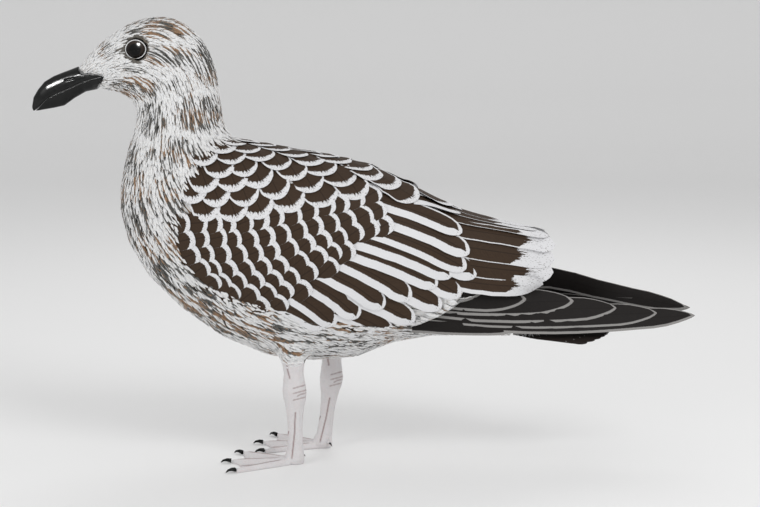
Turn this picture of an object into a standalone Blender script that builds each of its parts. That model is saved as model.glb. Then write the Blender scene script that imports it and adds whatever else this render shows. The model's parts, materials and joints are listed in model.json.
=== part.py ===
"""A young great black-backed gull, standing, at life size.

The bird looks along -X, its left side is -Y and it stands on Z = 0. All sizes below are in
millimetres; to_metres() turns them into Blender's units when a mesh is made.

One closed body runs through named sections from the bill's tip to the tail's root. It is parted
with thin cuts into bill, head, neck and trunk. The folded wings come from an outer envelope round
the trunk, less a core, so they lie on the flanks as shells.
"""

import math

import bmesh
import bpy
import numpy as np
from mathutils import Vector

GAP = 0.3                     # between neighbouring pieces
SIDES = 24                    # points round a body section
CUT = 0.02                    # a cut across the body, as a share of the way between two sections
LEFT, RIGHT = -1, 1           # the sign of Y on each side
SIDE_NAMES = {LEFT: "left", RIGHT: "right"}

WING_DEPTH = 9.0              # thickness of the folded wing's shell
TERTIAL_DEPTH = 4.5           # thickness of the long inner feathers' shell
WING_REACH = 120.0            # how far to the side the cutters round the wings go
EYE_RADIUS = 10.4
EYE_CENTRE = (-220.6, 19.2, 410.0)
BILL_REACH = 40.0             # how far to each side the cutters round the bill go
BILL_ABOVE = (-350.0, 400.0)  # outer corners (x, z) of the cutters round its two halves
BILL_BELOW = [(-350.0, 325.0), (-268.0, 325.0)]

# name: back (x, z), belly (x, z), half width, squareness, how far the widest place lies above middle
SECTIONS = [
    ("bill tip", (-327.5, 353.0), (-326.2, 349.0), 0.8, 2.0, 0.0),
    ("bill hook", (-325.6, 362.8), (-321.1, 349.3), 3.0, 2.0, 0.0),
    ("bill bend", (-321.0, 370.3), (-313.6, 350.7), 4.6, 2.0, 0.0),
    ("gonys front", (-314.4, 378.0), (-304.7, 352.2), 5.8, 2.1, 0.0),
    ("gonys", (-305.4, 383.4), (-295.2, 354.3), 6.8, 2.1, 0.0),
    ("nostril", (-296.9, 386.8), (-284.7, 361.8), 7.8, 2.1, 0.0),
    ("bill middle", (-287.9, 390.1), (-273.7, 368.0), 9.2, 2.1, 0.0),
    ("bill base", (-280.0, 393.2), (-262.8, 370.2), 11.0, 2.1, -0.05),
    ("forehead", (-268.9, 406.0), (-255.9, 369.5), 15.5, 2.1, -0.1),
    ("lores", (-254.8, 419.1), (-249.0, 368.9), 20.0, 2.1, -0.12),
    ("brow", (-234.9, 432.3), (-242.1, 367.7), 24.5, 2.1, -0.1),
    ("crown front", (-213.1, 440.6), (-234.3, 363.8), 27.2, 2.1, -0.08),
    ("crown", (-187.6, 440.6), (-228.9, 359.4), 28.8, 2.1, -0.05),
    ("hind crown", (-164.7, 427.4), (-226.1, 353.9), 29.5, 2.0, 0.0),
    ("nape", (-149.8, 405.0), (-224.8, 348.0), 30.5, 2.0, 0.0),
    ("upper neck", (-142.8, 379.5), (-225.0, 341.1), 32.5, 2.0, 0.0),
    ("middle neck", (-140.4, 357.9), (-227.0, 332.2), 35.5, 2.0, 0.0),
    ("lower neck", (-138.3, 339.5), (-231.2, 318.3), 40.0, 2.0, 0.0),
    ("neck root", (-132.5, 326.5), (-236.1, 299.5), 46.0, 2.0, 0.0),
    ("shoulder", (-119.2, 321.3), (-240.8, 276.6), 53.0, 2.0, 0.0),
    ("breast", (-104.4, 318.3), (-241.7, 251.6), 60.0, 2.1, 0.02),
    ("breast keel", (-87.6, 316.1), (-234.0, 219.0), 66.0, 2.1, 0.04),
    ("mantle", (-67.8, 312.9), (-215.5, 186.2), 71.0, 2.1, 0.05),
    ("fore belly", (-45.0, 308.4), (-184.0, 154.0), 75.0, 2.1, 0.06),
    ("belly", (-21.2, 304.0), (-142.5, 124.0), 77.0, 2.1, 0.06),
    ("thighs", (2.6, 298.5), (-96.4, 104.6), 76.0, 2.1, 0.06),
    ("hind belly", (26.4, 289.5), (-49.0, 98.9), 72.0, 2.1, 0.05),
    ("loins", (50.3, 275.6), (-7.0, 103.0), 64.0, 2.1, 0.04),
    ("rump", (74.3, 251.6), (28.6, 116.8), 52.0, 2.0, 0.0),
    ("hind rump", (98.4, 222.4), (66.8, 123.6), 41.0, 2.0, 0.0),
    ("vent", (120.6, 192.2), (99.0, 124.2), 32.0, 2.0, 0.0),
    ("tail coverts", (139.9, 163.8), (125.2, 124.0), 27.0, 2.0, 0.0),
    ("tail root", (153.2, 143.0), (147.3, 124.0), 24.0, 2.0, 0.0),
]

# The outer form of the folded wings behind the loins, where the trunk runs on inside it.
WING_SECTIONS = [
    ("wing back", (76.2, 261.1), (36.6, 121.0), 62.0, 3.0, 0.0),
    ("secondaries", (101.2, 250.1), (76.9, 123.0), 56.5, 3.2, 0.05),
    ("wing end", (126.2, 243.6), (112.0, 133.2), 50.0, 3.2, 0.1),
    ("tertials", (156.1, 235.8), (147.1, 146.5), 42.0, 3.0, 0.15),
    ("tertial ends", (180.1, 231.6), (177.1, 154.6), 33.0, 2.8, 0.15),
    ("tertial tips", (198.0, 227.5), (197.0, 163.0), 24.0, 2.8, 0.1),
]

# The side outlines (x, z) of the bill and the wings. Each is a closed loop, or an open line.
MOUTH_LINE = [(-345.9, 344.0), (-326.0, 348.4), (-313.4, 359.5), (-304.4, 365.2), (-291.9, 370.4),
              (-279.9, 376.0), (-268.0, 379.9), (-251.1, 384.2)]
UPPER_FEATHER_EDGE = [(-280.8, 401.0), (-280.1, 393.2), (-278.6, 387.8), (-274.8, 385.3),
                      (-265.9, 384.4), (-251.1, 384.2)]
LOWER_FEATHER_EDGE = [(-251.1, 384.2), (-255.7, 379.5), (-260.2, 373.6), (-262.8, 367.7),
                      (-263.6, 356.9)]
WING_OUTLINE = [(-175.5, 243.2), (-162.5, 247.2), (-141.6, 244.2), (-107.7, 246.7), (-69.7, 253.8),
                (-30.8, 261.3), (12.0, 269.3), (44.8, 284.3), (84.6, 275.3), (105.7, 247.2),
                (109.4, 222.1), (107.1, 196.8), (98.3, 169.4), (74.3, 151.6), (36.1, 137.3),
                (-3.1, 133.2), (-41.4, 138.8), (-75.5, 150.1), (-104.5, 162.3), (-132.5, 171.5),
                (-155.4, 184.7), (-170.1, 205.9), (-176.8, 227.1)]
TERTIAL_OUTLINE = [(75.0, 272.0), (120.0, 272.0), (165.0, 258.0), (184.0, 243.0), (189.3, 231.0),
                   (188.8, 220.0), (185.6, 211.2), (189.7, 202.0), (186.8, 193.3), (179.5, 183.0),
                   (164.4, 176.3), (142.0, 172.5), (104.0, 169.0), (75.0, 171.6)]

# The hand's stacked flight feathers: (x, y, z) of the upper edge, of the lower edge, thickness.
HAND_SECTIONS = [
    ((96.0, -43.8, 198.0), (77.0, -41.0, 135.0), 3.2),
    ((116.0, -37.5, 195.5), (101.5, -40.5, 131.5), 4.6),
    ((147.0, -25.5, 189.0), (141.0, -38.0, 129.6), 5.0),
    ((181.0, -13.5, 179.5), (178.5, -35.5, 130.0), 5.0),
    ((214.5, -10.5, 170.0), (211.0, -31.5, 132.6), 4.6),
    ((248.5, -9.0, 163.5), (248.0, -26.5, 134.4), 4.2),
    ((284.0, -7.5, 157.8), (283.5, -20.5, 135.0), 3.6),
    ((314.0, -6.5, 153.0), (314.5, -14.5, 136.2), 3.0),
    ((327.5, -6.5, 149.5), (327.5, -11.5, 138.5), 2.4),
    ((332.5, -7.0, 145.5), (332.5, -9.0, 142.0), 1.6),
]
# The right wing lies on the left one: from x on, it lies this much higher, and this much shorter.
RIGHT_HAND_LIES = [(130.0, 0.0, 0.0), (195.0, 11.5, 0.0), (235.0, 8.5, 1.0), (333.0, 6.0, 4.0)]

TAIL_ROOT_X, TAIL_END_X = 154.0, 246.5
TAIL_ROOT_HALF, TAIL_END_HALF = 22.0, 39.0
TAIL_ROOT_Z, TAIL_LOW_Z, TAIL_END_Z = 131.0, 127.0, 126.8
TAIL_SAG = 4.5                # how much lower the tail's edges lie than its middle
TAIL_THICK = 2.6              # half its thickness at the root
TAIL_ROUND = 28.0             # how far the tail's corners are rounded back from its end

# The legs: x of hip, ankle and heel, and rows of height, half depth along X, half width along Y.
LEG_Y = 33.0
LEG_X = {LEFT: (-70.5, -68.0, -67.8), RIGHT: (-32.5, -33.5, -42.0)}
THIGH_SECTIONS = [(132.0, 22.0, 17.0), (118.0, 18.5, 15.0), (108.0, 14.5, 12.0), (102.5, 12.0, 9.5)]
SHANK_SECTIONS = [(102.2, 11.2, 8.0), (92.0, 10.0, 7.2), (83.0, 11.0, 7.8), (74.0, 12.2, 8.6),
                  (66.0, 11.4, 7.9), (58.5, 9.6, 6.5)]
TARSUS_SECTIONS = [(58.2, 9.5, 6.4), (48.0, 8.2, 5.4), (36.0, 7.5, 4.9), (24.0, 7.7, 5.1),
                   (14.0, 8.4, 5.8)]
ANKLE_Z, HEEL_Z = 70.0, 8.0
FOOT_TOP_Z = 13.7
FOOT_TURN = {LEFT: 0.0, RIGHT: 9.0}      # how far each foot points outwards, in degrees
TOES = [("outer", 31.0, 66.0), ("middle", 0.0, 63.5), ("inner", -31.0, 64.0)]
TOE_HALF_WIDTH, TOE_HEIGHT = 3.9, 7.0
WEB_THICK = 2.0
WEB_NOTCH = 0.86                         # how far the web reaches between two toes
WEB_PLACES = (0.0, 0.11, 0.29, 0.5, 0.71, 0.89)   # the foot's lines of points from toe to toe
TOE_PLACES = (0.12, 0.3, 0.5, 0.7, 0.88, 1.0)     # its points from the heel outwards
CLAW_LENGTH, CLAW_RADIUS = 10.5, 2.5
HIND_TOE_LENGTH, HIND_TOE_RADIUS = 7.0, 2.6
HIND_TOE_ROOT = (3.0, 4.0, 9.5)          # from the heel: back, inwards and up
HIND_TOE_WAY = (0.5, 0.75, -0.4)
# The block that carries the tarsus: how far before the heel, its height, and half its two widths.
FOOT_BLOCK = [(1.5, 0.0, 9.5, 6.2), (1.5, 4.5, 10.8, 7.8), (0.7, 9.5, 9.6, 7.0),
              (0.0, FOOT_TOP_Z, 8.6, 5.9)]

COLOURS = {                   # name: (red, green, blue, roughness), linear
    "plumage": (0.60, 0.58, 0.55, 0.85),
    "wing_feather": (0.075, 0.055, 0.042, 0.75),
    "flight_feather": (0.022, 0.019, 0.018, 0.55),
    "horn": (0.015, 0.016, 0.018, 0.30),
    "eye": (0.006, 0.005, 0.004, 0.05),
    "leg_skin": (0.62, 0.52, 0.50, 0.55),
}


# ---------------------------------------------------------------- numbers and curves

def to_metres(point):
    return Vector(point) * 0.001


def smooth(values, place):
    """A value on the Catmull-Rom curve through evenly numbered values, each a tuple of numbers."""
    first = min(max(int(math.floor(place)), 0), len(values) - 2)
    t = place - first
    before = values[max(first - 1, 0)]
    start, end = values[first], values[first + 1]
    after = values[min(first + 2, len(values) - 1)]
    return tuple(
        0.5 * (2 * b + (c - a) * t + (2 * a - 5 * b + 4 * c - d) * t ** 2
               + (3 * b - a - 3 * c + d) * t ** 3)
        for a, b, c, d in zip(before, start, end, after))


def smooth_line(points, steps, closed=False):
    """Points on the curve through these points, with this many steps to each span."""
    if closed:
        points = [points[-1], *points, points[0], points[1]]
    spans = range(1, len(points) - 2) if closed else range(len(points) - 1)
    line = [smooth(points, span + step / steps) for span in spans for step in range(steps)]
    return line if closed else [*line, tuple(points[-1])]


def grown(outline, by):
    """The closed outline moved outwards by this distance, its sharp corners blunted a little."""
    area = sum(a[0] * b[1] - b[0] * a[1] for a, b in zip(outline, outline[1:] + outline[:1]))
    outward = math.copysign(1, area)
    moved = []
    for before, here, after in zip(outline[-1:] + outline[:-1], outline, outline[1:] + outline[:1]):
        ways = [Vector((b[0] - a[0], b[1] - a[1])).normalized()
                for a, b in ((before, here), (here, after))]
        normals = [Vector((way.y, -way.x)) * outward for way in ways]
        out = (normals[0] + normals[1]).normalized()
        out *= by / max(out.dot(normals[0]), 0.3)
        moved.append((here[0] + out.x, here[1] + out.y))
    return moved


# ---------------------------------------------------------------- meshes

def material(name):
    made = bpy.data.materials.get(name) or bpy.data.materials.new(name)
    red, green, blue, roughness = COLOURS[name]
    made.use_nodes = True
    shader = made.node_tree.nodes["Principled BSDF"]
    shader.inputs["Base Color"].default_value = (red, green, blue, 1.0)
    shader.inputs["Roughness"].default_value = roughness
    return made


def add_object(name, bm, colour=None):
    """An object from a bmesh. One with no colour is a cutter, which the build leaves out."""
    bmesh.ops.recalc_face_normals(bm, faces=bm.faces)
    mesh = bpy.data.meshes.new(name)
    bm.to_mesh(mesh)
    bm.free()
    obj = bpy.data.objects.new(name, mesh)
    bpy.context.scene.collection.objects.link(obj)
    if colour:
        mesh.materials.append(material(colour))
        mesh.shade_smooth()
        mesh.set_sharp_from_angle(angle=math.radians(40))
    else:
        obj.hide_render = True
        obj.display_type = "WIRE"
    return obj


def loft(name, rings, colour=None):
    """A closed body through rings of points in millimetres, with a flat cap at each end."""
    bm = bmesh.new()
    made = [[bm.verts.new(to_metres(point)) for point in ring] for ring in rings]
    for near, far in zip(made, made[1:]):
        for i in range(len(near)):
            j = (i + 1) % len(near)
            bm.faces.new((near[i], near[j], far[j]))
            bm.faces.new((near[i], far[j], far[i]))
    bm.faces.new(reversed(made[0]))
    bm.faces.new(made[-1])
    return add_object(name, bm, colour)


def prism(name, outline, low_y, high_y):
    """The outline (x, z) drawn out along Y, as a cutter."""
    return loft(name, [[(x, y, z) for x, z in outline] for y in (low_y, high_y)])


def boolean(obj, other, operation):
    made = obj.modifiers.new(f"{operation.lower()} {other.name}", "BOOLEAN")
    made.operation = operation
    made.object = other


def cut(obj, *others):
    for other in others:
        boolean(obj, other, "DIFFERENCE")


# ---------------------------------------------------------------- the body's sections

def body_ring(sections, place, grow=0.0):
    """The ring at this place along the sections, each counting 1, grown by this much."""
    rows = [(*back, *belly, width, square, rise) for _, back, belly, width, square, rise in sections]
    back_x, back_z, belly_x, belly_z, width, square, rise = smooth(rows, place)
    centre = Vector((back_x + belly_x, 0.0, back_z + belly_z)) / 2
    up = Vector((back_x - belly_x, 0.0, back_z - belly_z))
    height = up.length / 2 + grow
    up.normalize()
    ring = []
    for i in range(SIDES):
        turn = math.tau * (i + 0.5) / SIDES
        across, along = math.sin(turn), math.cos(turn)
        power = 2.0 / square
        y = math.copysign(abs(across) ** power, across) * (width + grow) * (1 + rise * along)
        ring.append(centre + up * (math.copysign(abs(along) ** power, along) * height)
                    + Vector((0.0, y, 0.0)))
    return ring


def body_loft(name, sections, first, last, colour=None, grow=0.0, step=1.0):
    """A piece of the body between two places, with a ring at every step between them."""
    inner = [first]
    place = math.floor(first / step + 1) * step
    while place < last - 0.1 * step:
        inner.append(place)
        place += step
    rings = [body_ring(sections, place, grow) for place in (*inner, last)]
    return loft(name, rings, colour)


def place_of(name):
    return [row[0] for row in SECTIONS].index(name)


def neck_root():
    """Where the neck is parted from the trunk."""
    return place_of("neck root") + 0.2


def add_head_and_neck():
    """Bill, head and neck. The bill's two halves meet at the mouth line, which runs on into the
    cheek, and the feather edge parts them from the head."""
    mouth = smooth_line(MOUTH_LINE, 3)
    upper_edge = smooth_line(UPPER_FEATHER_EDGE, 3)
    lower_edge = smooth_line(LOWER_FEATHER_EDGE, 3)
    upper = mouth + upper_edge[-2::-1] + [BILL_ABOVE]
    lower = mouth[::-1] + BILL_BELOW + lower_edge[:0:-1]
    neck_end = place_of("nape") + 0.4
    head = body_loft("head", SECTIONS, place_of("bill middle") + 0.5, neck_end, "plumage",
                     step=0.5)
    for name, outline in (("bill_upper", upper), ("bill_lower", lower)):
        piece = body_loft(name, SECTIONS, 0, place_of("brow"), "horn")
        boolean(piece, prism(f"{name}_shape", grown(outline, -GAP / 2), -BILL_REACH, BILL_REACH),
                "INTERSECT")
        cut(head, prism(f"{name}_socket", grown(outline, GAP / 2), -BILL_REACH, BILL_REACH))
    for side in (LEFT, RIGHT):
        centre = (EYE_CENTRE[0], side * EYE_CENTRE[1], EYE_CENTRE[2])
        add_ball(f"eye_{SIDE_NAMES[side]}", centre, EYE_RADIUS, "eye")
        cut(head, add_ball(f"eye_socket_{SIDE_NAMES[side]}", centre, EYE_RADIUS + GAP))
    body_loft("neck", SECTIONS, neck_end + CUT, neck_root(), "plumage")


def add_ball(name, centre, radius, colour=None):
    bm = bmesh.new()
    bmesh.ops.create_uvsphere(bm, u_segments=16, v_segments=10, radius=radius * 0.001)
    bmesh.ops.translate(bm, verts=bm.verts, vec=to_metres(centre))
    return add_object(name, bm, colour)


# ---------------------------------------------------------------- trunk, wings and tail

def envelope(name, grow=0.0, colour=None):
    """The trunk with its folded wings, grown by this much."""
    rows = SECTIONS[:place_of("loins")] + WING_SECTIONS
    return body_loft(name, rows, place_of("neck root"), len(rows) - 1, colour, grow)


def half_prism(name, outline, side, grow):
    """The outline drawn out to one side. The two sides' wings stay a gap apart in the middle."""
    near, far = side * (GAP - grow) / 2, side * WING_REACH
    return prism(name, grown(outline, grow), min(near, far), max(near, far))


def add_trunk_and_wings():
    """The trunk, each folded wing's shell with its coverts and secondaries, and the tertials
    behind it."""
    trunk = body_loft("trunk", SECTIONS, neck_root() + CUT, place_of("tail root"), "plumage")
    wing_outline = smooth_line(WING_OUTLINE, 2, closed=True)
    tertial_outline = smooth_line(TERTIAL_OUTLINE, 2, closed=True)
    core = envelope("wing_core", -WING_DEPTH)
    core_cut = envelope("wing_core_small", -WING_DEPTH - GAP)
    tertial_core = envelope("tertial_core", -TERTIAL_DEPTH)
    for side in (LEFT, RIGHT):
        name = SIDE_NAMES[side]
        wing = envelope(f"wing_{name}", 0.0, "wing_feather")
        boolean(wing, half_prism(f"wing_shape_{name}", wing_outline, side, 0.0), "INTERSECT")
        cut(wing, core)
        socket = half_prism(f"wing_socket_{name}", wing_outline, side, GAP)
        cut(socket, core_cut)
        cut(trunk, socket)
        tertials = envelope(f"tertials_{name}", 0.0, "wing_feather")
        boolean(tertials, half_prism(f"tertial_shape_{name}", tertial_outline, side, 0.0),
                "INTERSECT")
        cut(tertials, half_prism(f"wing_edge_{name}", wing_outline, side, GAP), tertial_core)


def add_hands():
    """The folded flight feathers of each wing as one thin blade, from the wing to its tip."""
    for side in (LEFT, RIGHT):
        rings = []
        for top, bottom, thick in HAND_SECTIONS:
            top, bottom = Vector(top), Vector(bottom)
            if side == RIGHT:
                lift, back = right_hand_lies(top.x)
                top, bottom = (Vector((p.x - back, -p.y, p.z + lift)) for p in (top, bottom))
            rings.append(blade_ring(top, bottom, thick))
        loft(f"primaries_{SIDE_NAMES[side]}", rings, "flight_feather")


def right_hand_lies(x):
    """How much higher and shorter the right wing's flight feathers lie here than the left's."""
    starts = [row[0] for row in RIGHT_HAND_LIES]
    return [float(np.interp(x, starts, values)) for values in list(zip(*RIGHT_HAND_LIES))[1:]]


def blade_ring(top, bottom, thick, sides=12):
    """A flat oval between two edge points, at a right angle to the bird's length."""
    centre, half = (top + bottom) / 2, (top - bottom) / 2
    out = half.cross(Vector((1.0, 0.0, 0.0))).normalized() * (thick / 2)
    turns = [math.tau * i / sides for i in range(sides)]
    return [centre + half * math.cos(turn) + out * math.sin(turn) for turn in turns]


def add_tail(steps=10, sides=14):
    """A flat closed fan with a rounded end, its edges a little lower than its middle."""
    rings = []
    for i in range(steps + 1):
        share = 1 - (1 - i / steps) ** 1.6      # closer steps where the end is rounded
        x = TAIL_ROOT_X + (TAIL_END_X - TAIL_ROOT_X) * share
        half = TAIL_ROOT_HALF + (TAIL_END_HALF - TAIL_ROOT_HALF) * share ** 0.8
        rest = TAIL_END_X - x
        if rest < TAIL_ROUND:
            half *= math.sqrt(max(1 - ((TAIL_ROUND - rest) / TAIL_ROUND) ** 2, 0.05))
        middle = smooth([(TAIL_ROOT_Z,), (TAIL_LOW_Z,), (TAIL_END_Z,)], 2 * share)[0]
        thick = TAIL_THICK * (1 - 0.5 * share)
        ring = []
        for j in range(sides):
            turn = math.tau * j / sides
            y = half * math.cos(turn)
            sag = TAIL_SAG * (y / TAIL_END_HALF) ** 2
            ring.append(Vector((x, y, middle - sag + thick * math.sin(turn))))
        rings.append(ring)
    loft("tail", rings, "flight_feather")


# ---------------------------------------------------------------- legs and feet

def oval(centre, half_x, half_y, sides=12):
    turns = [math.tau * i / sides for i in range(sides)]
    return [Vector(centre) + Vector((half_x * math.cos(turn), half_y * math.sin(turn), 0.0))
            for turn in turns]


def leg_loft(name, rows, side, colour):
    hip, ankle, heel = LEG_X[side]
    rings = []
    for z, half_x, half_y in rows:
        if z > ANKLE_Z:
            x = ankle + (hip - ankle) * (z - ANKLE_Z) / (THIGH_SECTIONS[0][0] - ANKLE_Z)
        else:
            share = (ANKLE_Z - z) / (ANKLE_Z - HEEL_Z)
            x = ankle + (heel - ankle) * share
        rings.append(oval((x, side * LEG_Y, z), half_x, half_y))
    return loft(name, rings, colour)


def foot_reach(angle):
    """How far the foot reaches at this angle: to a toe's end, or to the web between two."""
    toes = sorted((toe_angle, length) for _, toe_angle, length in TOES)
    for (low, near), (high, far) in zip(toes, toes[1:]):
        if low <= angle <= high:
            share = (angle - low) / (high - low)
            notch = WEB_NOTCH + (1 - WEB_NOTCH) * abs(2 * share - 1) ** 2.5
            return (near + (far - near) * share) * notch
    raise ValueError(f"no web at {angle} degrees")


def foot_point(heel, side, angle, share, shift, top):
    """A point of the foot at this angle and share of its reach, moved this far to the side."""
    reach = foot_reach(angle) * share
    nearest = min((toe_angle for _, toe_angle, _ in TOES), key=lambda toe: abs(toe - angle))
    off = abs(math.sin(math.radians(angle - nearest))) * reach + abs(shift)
    ridge = math.sqrt(max(0.0, 1 - (off / TOE_HALF_WIDTH) ** 2))
    toe_height = TOE_HEIGHT * (1 - 0.3 * share)
    height = (WEB_THICK + (toe_height - WEB_THICK) * ridge) * (0.85 if share == 1.0 else 1.0)
    forward, aside = foot_ways(side, angle)
    place = heel + forward * reach + aside * shift
    return Vector((place.x, place.y, height if top else 0.0))


def foot_ways(side, angle):
    """Forwards at this angle of the foot, and to the outer side of that."""
    turn = math.radians(angle + FOOT_TURN[side])
    forward = Vector((-math.cos(turn), side * math.sin(turn), 0.0))
    return forward, Vector((math.sin(turn), side * math.cos(turn), 0.0))


def add_foot(side):
    """Three toes joined by their web, flat below, with a block that carries the tarsus."""
    name = SIDE_NAMES[side]
    heel = Vector((LEG_X[side][2], side * LEG_Y, 0.0))
    angles = sorted(toe_angle for _, toe_angle, _ in TOES)
    columns = [(angles[0], -TOE_HALF_WIDTH), (angles[0], -0.6 * TOE_HALF_WIDTH)]
    for low, high in zip(angles, angles[1:]):
        columns += [(low + (high - low) * place, 0.0) for place in WEB_PLACES]
    columns += [(angles[-1], shift * TOE_HALF_WIDTH) for shift in (0.0, 0.6, 1.0)]
    bm = bmesh.new()
    sheets = [[[bm.verts.new(to_metres(foot_point(heel, side, angle, share, shift, top)))
                for share in TOE_PLACES] for angle, shift in columns] for top in (True, False)]
    for sheet in sheets:
        for near, far in zip(sheet, sheet[1:]):
            for i in range(len(TOE_PLACES) - 1):
                bm.faces.new((near[i], near[i + 1], far[i + 1], far[i]))
    rims = [[row[0] for row in sheet] + sheet[-1][1:] + [row[-1] for row in sheet[-2::-1]]
            + sheet[0][-2:0:-1] for sheet in sheets]
    for i in range(len(rims[0])):
        bm.faces.new((rims[0][i - 1], rims[0][i], rims[1][i], rims[1][i - 1]))
    foot = add_object(f"foot_{name}", bm, "leg_skin")
    block = loft(f"foot_block_{name}", [oval(heel + Vector((-before, 0.0, z)), half_x, half_y)
                                        for before, z, half_x, half_y in FOOT_BLOCK])
    boolean(foot, block, "UNION")
    back = Vector((HIND_TOE_WAY[0], -side * HIND_TOE_WAY[1], HIND_TOE_WAY[2])).normalized()
    root = heel + Vector((HIND_TOE_ROOT[0], -side * HIND_TOE_ROOT[1], HIND_TOE_ROOT[2]))
    ends = [root, root + back * HIND_TOE_LENGTH]
    toe = loft(f"hind_toe_{name}", [tube_ring(ends[0], back, HIND_TOE_RADIUS),
                                    tube_ring(ends[1], back, 0.7 * HIND_TOE_RADIUS)])
    boolean(foot, toe, "UNION")
    add_claw(f"claw_hind_{name}", ends[1] + back * GAP, back, CLAW_LENGTH / 2, CLAW_RADIUS / 2)
    for label, angle, length in TOES:
        forward, _ = foot_ways(side, angle)
        start = heel + forward * (length + GAP) + Vector((0.0, 0.0, CLAW_RADIUS + GAP))
        add_claw(f"claw_{label}_{name}", start, forward, CLAW_LENGTH, CLAW_RADIUS)


def tube_ring(centre, along, radius, sides=7):
    along = Vector(along).normalized()
    across = along.cross(Vector((0.0, 0.0, 1.0))).normalized()
    up = across.cross(along)
    turns = [math.tau * (i + 0.5) / sides for i in range(sides)]
    return [Vector(centre) + (across * math.cos(turn) + up * math.sin(turn)) * radius
            for turn in turns]


def add_claw(name, start, forward, length, radius, bend=1.1):
    """A claw that arches over and comes down to its point."""
    rings = []
    for t in (0.0, 0.35, 0.7, 1.0):
        reach = length * math.sin(bend * t) / math.sin(bend)
        rise = radius * (0.7 * math.sin(math.pi * t) - 0.65 * t)
        middle = start + forward * reach + Vector((0.0, 0.0, rise))
        slope = forward + Vector((0.0, 0.0, 0.6 - 1.6 * t))
        rings.append(tube_ring(middle, slope, radius * (1 - 0.75 * t)))
    rings[0] = tube_ring(start, forward, radius)
    loft(name, rings, "horn")


def add_legs():
    flank = body_loft("flank", SECTIONS, place_of("mantle"), place_of("rump"), None, GAP)
    for side in (LEFT, RIGHT):
        name = SIDE_NAMES[side]
        thigh = leg_loft(f"thigh_{name}", THIGH_SECTIONS, side, "plumage")
        cut(thigh, flank)
        leg_loft(f"shank_{name}", SHANK_SECTIONS, side, "leg_skin")
        leg_loft(f"tarsus_{name}", TARSUS_SECTIONS, side, "leg_skin")
        add_foot(side)


def main():
    for obj in list(bpy.data.objects):
        bpy.data.objects.remove(obj)
    add_head_and_neck()
    add_trunk_and_wings()
    add_hands()
    add_tail()
    add_legs()


main()
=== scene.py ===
"""The looks of a young great black-backed gull, built over its solids.

The bird faces -X, its left side is -Y and it stands on Z = 0. One skin stands for the solids of
flesh and lies inside them by the plumage's depth. Small body feathers grow on it along the lie of
the plumage, and the wing's and tail's large feathers are laid one by one over their solids.
Sizes in the code are in millimetres and are turned to metres by MM where a mesh is made.
"""

import functools
import itertools
import json
import math

import bmesh
import bpy
import numpy as np
from bpy.props import FloatProperty, FloatVectorProperty, PointerProperty
from mathutils import Matrix, Vector
from mathutils.bvhtree import BVHTree

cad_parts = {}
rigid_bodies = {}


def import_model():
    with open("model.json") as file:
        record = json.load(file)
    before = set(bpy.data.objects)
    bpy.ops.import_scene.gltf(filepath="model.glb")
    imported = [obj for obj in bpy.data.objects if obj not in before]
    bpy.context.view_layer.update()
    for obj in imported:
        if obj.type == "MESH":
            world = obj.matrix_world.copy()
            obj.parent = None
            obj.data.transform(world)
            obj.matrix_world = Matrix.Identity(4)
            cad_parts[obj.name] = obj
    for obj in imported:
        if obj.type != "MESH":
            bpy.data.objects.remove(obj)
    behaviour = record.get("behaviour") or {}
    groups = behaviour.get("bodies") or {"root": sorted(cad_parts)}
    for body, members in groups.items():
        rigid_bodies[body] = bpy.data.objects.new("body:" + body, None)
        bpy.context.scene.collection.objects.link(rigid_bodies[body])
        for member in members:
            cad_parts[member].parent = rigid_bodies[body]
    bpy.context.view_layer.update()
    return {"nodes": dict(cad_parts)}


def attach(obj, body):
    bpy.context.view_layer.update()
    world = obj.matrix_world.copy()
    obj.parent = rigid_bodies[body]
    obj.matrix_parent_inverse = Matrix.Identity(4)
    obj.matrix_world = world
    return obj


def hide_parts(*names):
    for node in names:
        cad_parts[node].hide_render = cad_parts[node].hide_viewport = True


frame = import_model()

bl_info = {
    "name": "Young gull",
    "version": (1, 0, 0),
    "blender": (4, 5, 0),
    "location": "3D View > Sidebar > Gull",
    "description": "Skin, feathers, bill, eyes and legs of a standing young gull",
    "category": "Object",
}

MM = 0.001
SIDES = {"left": -1, "right": 1}

# The middle line of the body (x, z), from the bill's root to the tail. The feathers' lie, and the
# unwrapping of the skin, follow it.
AXIS = [
    ("bill root", -276, 380), ("lores", -252, 393), ("eye", -226, 399), ("crown", -204, 398),
    ("nape", -188, 377), ("neck", -184, 345), ("neck root", -184, 313), ("breast", -173, 285),
    ("keel", -161, 267), ("mantle", -141, 249), ("fore belly", -114, 231), ("belly", -82, 214),
    ("thighs", -47, 201), ("hind belly", -11, 194), ("loins", 22, 189), ("rump", 51, 184),
    ("hind rump", 83, 173), ("vent", 110, 158), ("coverts", 133, 144), ("tail root", 155, 134),
    ("tail", 250, 127),
]
AXIS_POINTS = 160
AXIS_REACH = 24 * MM  # how far apart the line's points still share in one place's lie
MEAN_RADIUS = 48.0  # turns angles round the line to millimetres in the Lie map
PART = 20000  # points that are read against the line at once

FLESH = ["head", "neck", "trunk", "wing_left", "wing_right", "thigh_left", "thigh_right"]
OUTER_ALSO = ["tertials_left", "tertials_right", "shank_left", "shank_right"]


# ---------------------------------------------------------------- colours, nodes, materials

def linear(hex_colour):
    """The linear colour, with alpha, of an sRGB hex value."""
    values = [int(hex_colour[i:i + 2], 16) / 255 for i in (1, 3, 5)]
    return (*[v / 12.92 if v <= 0.04045 else ((v + 0.055) / 1.055) ** 2.4 for v in values], 1.0)


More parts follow.
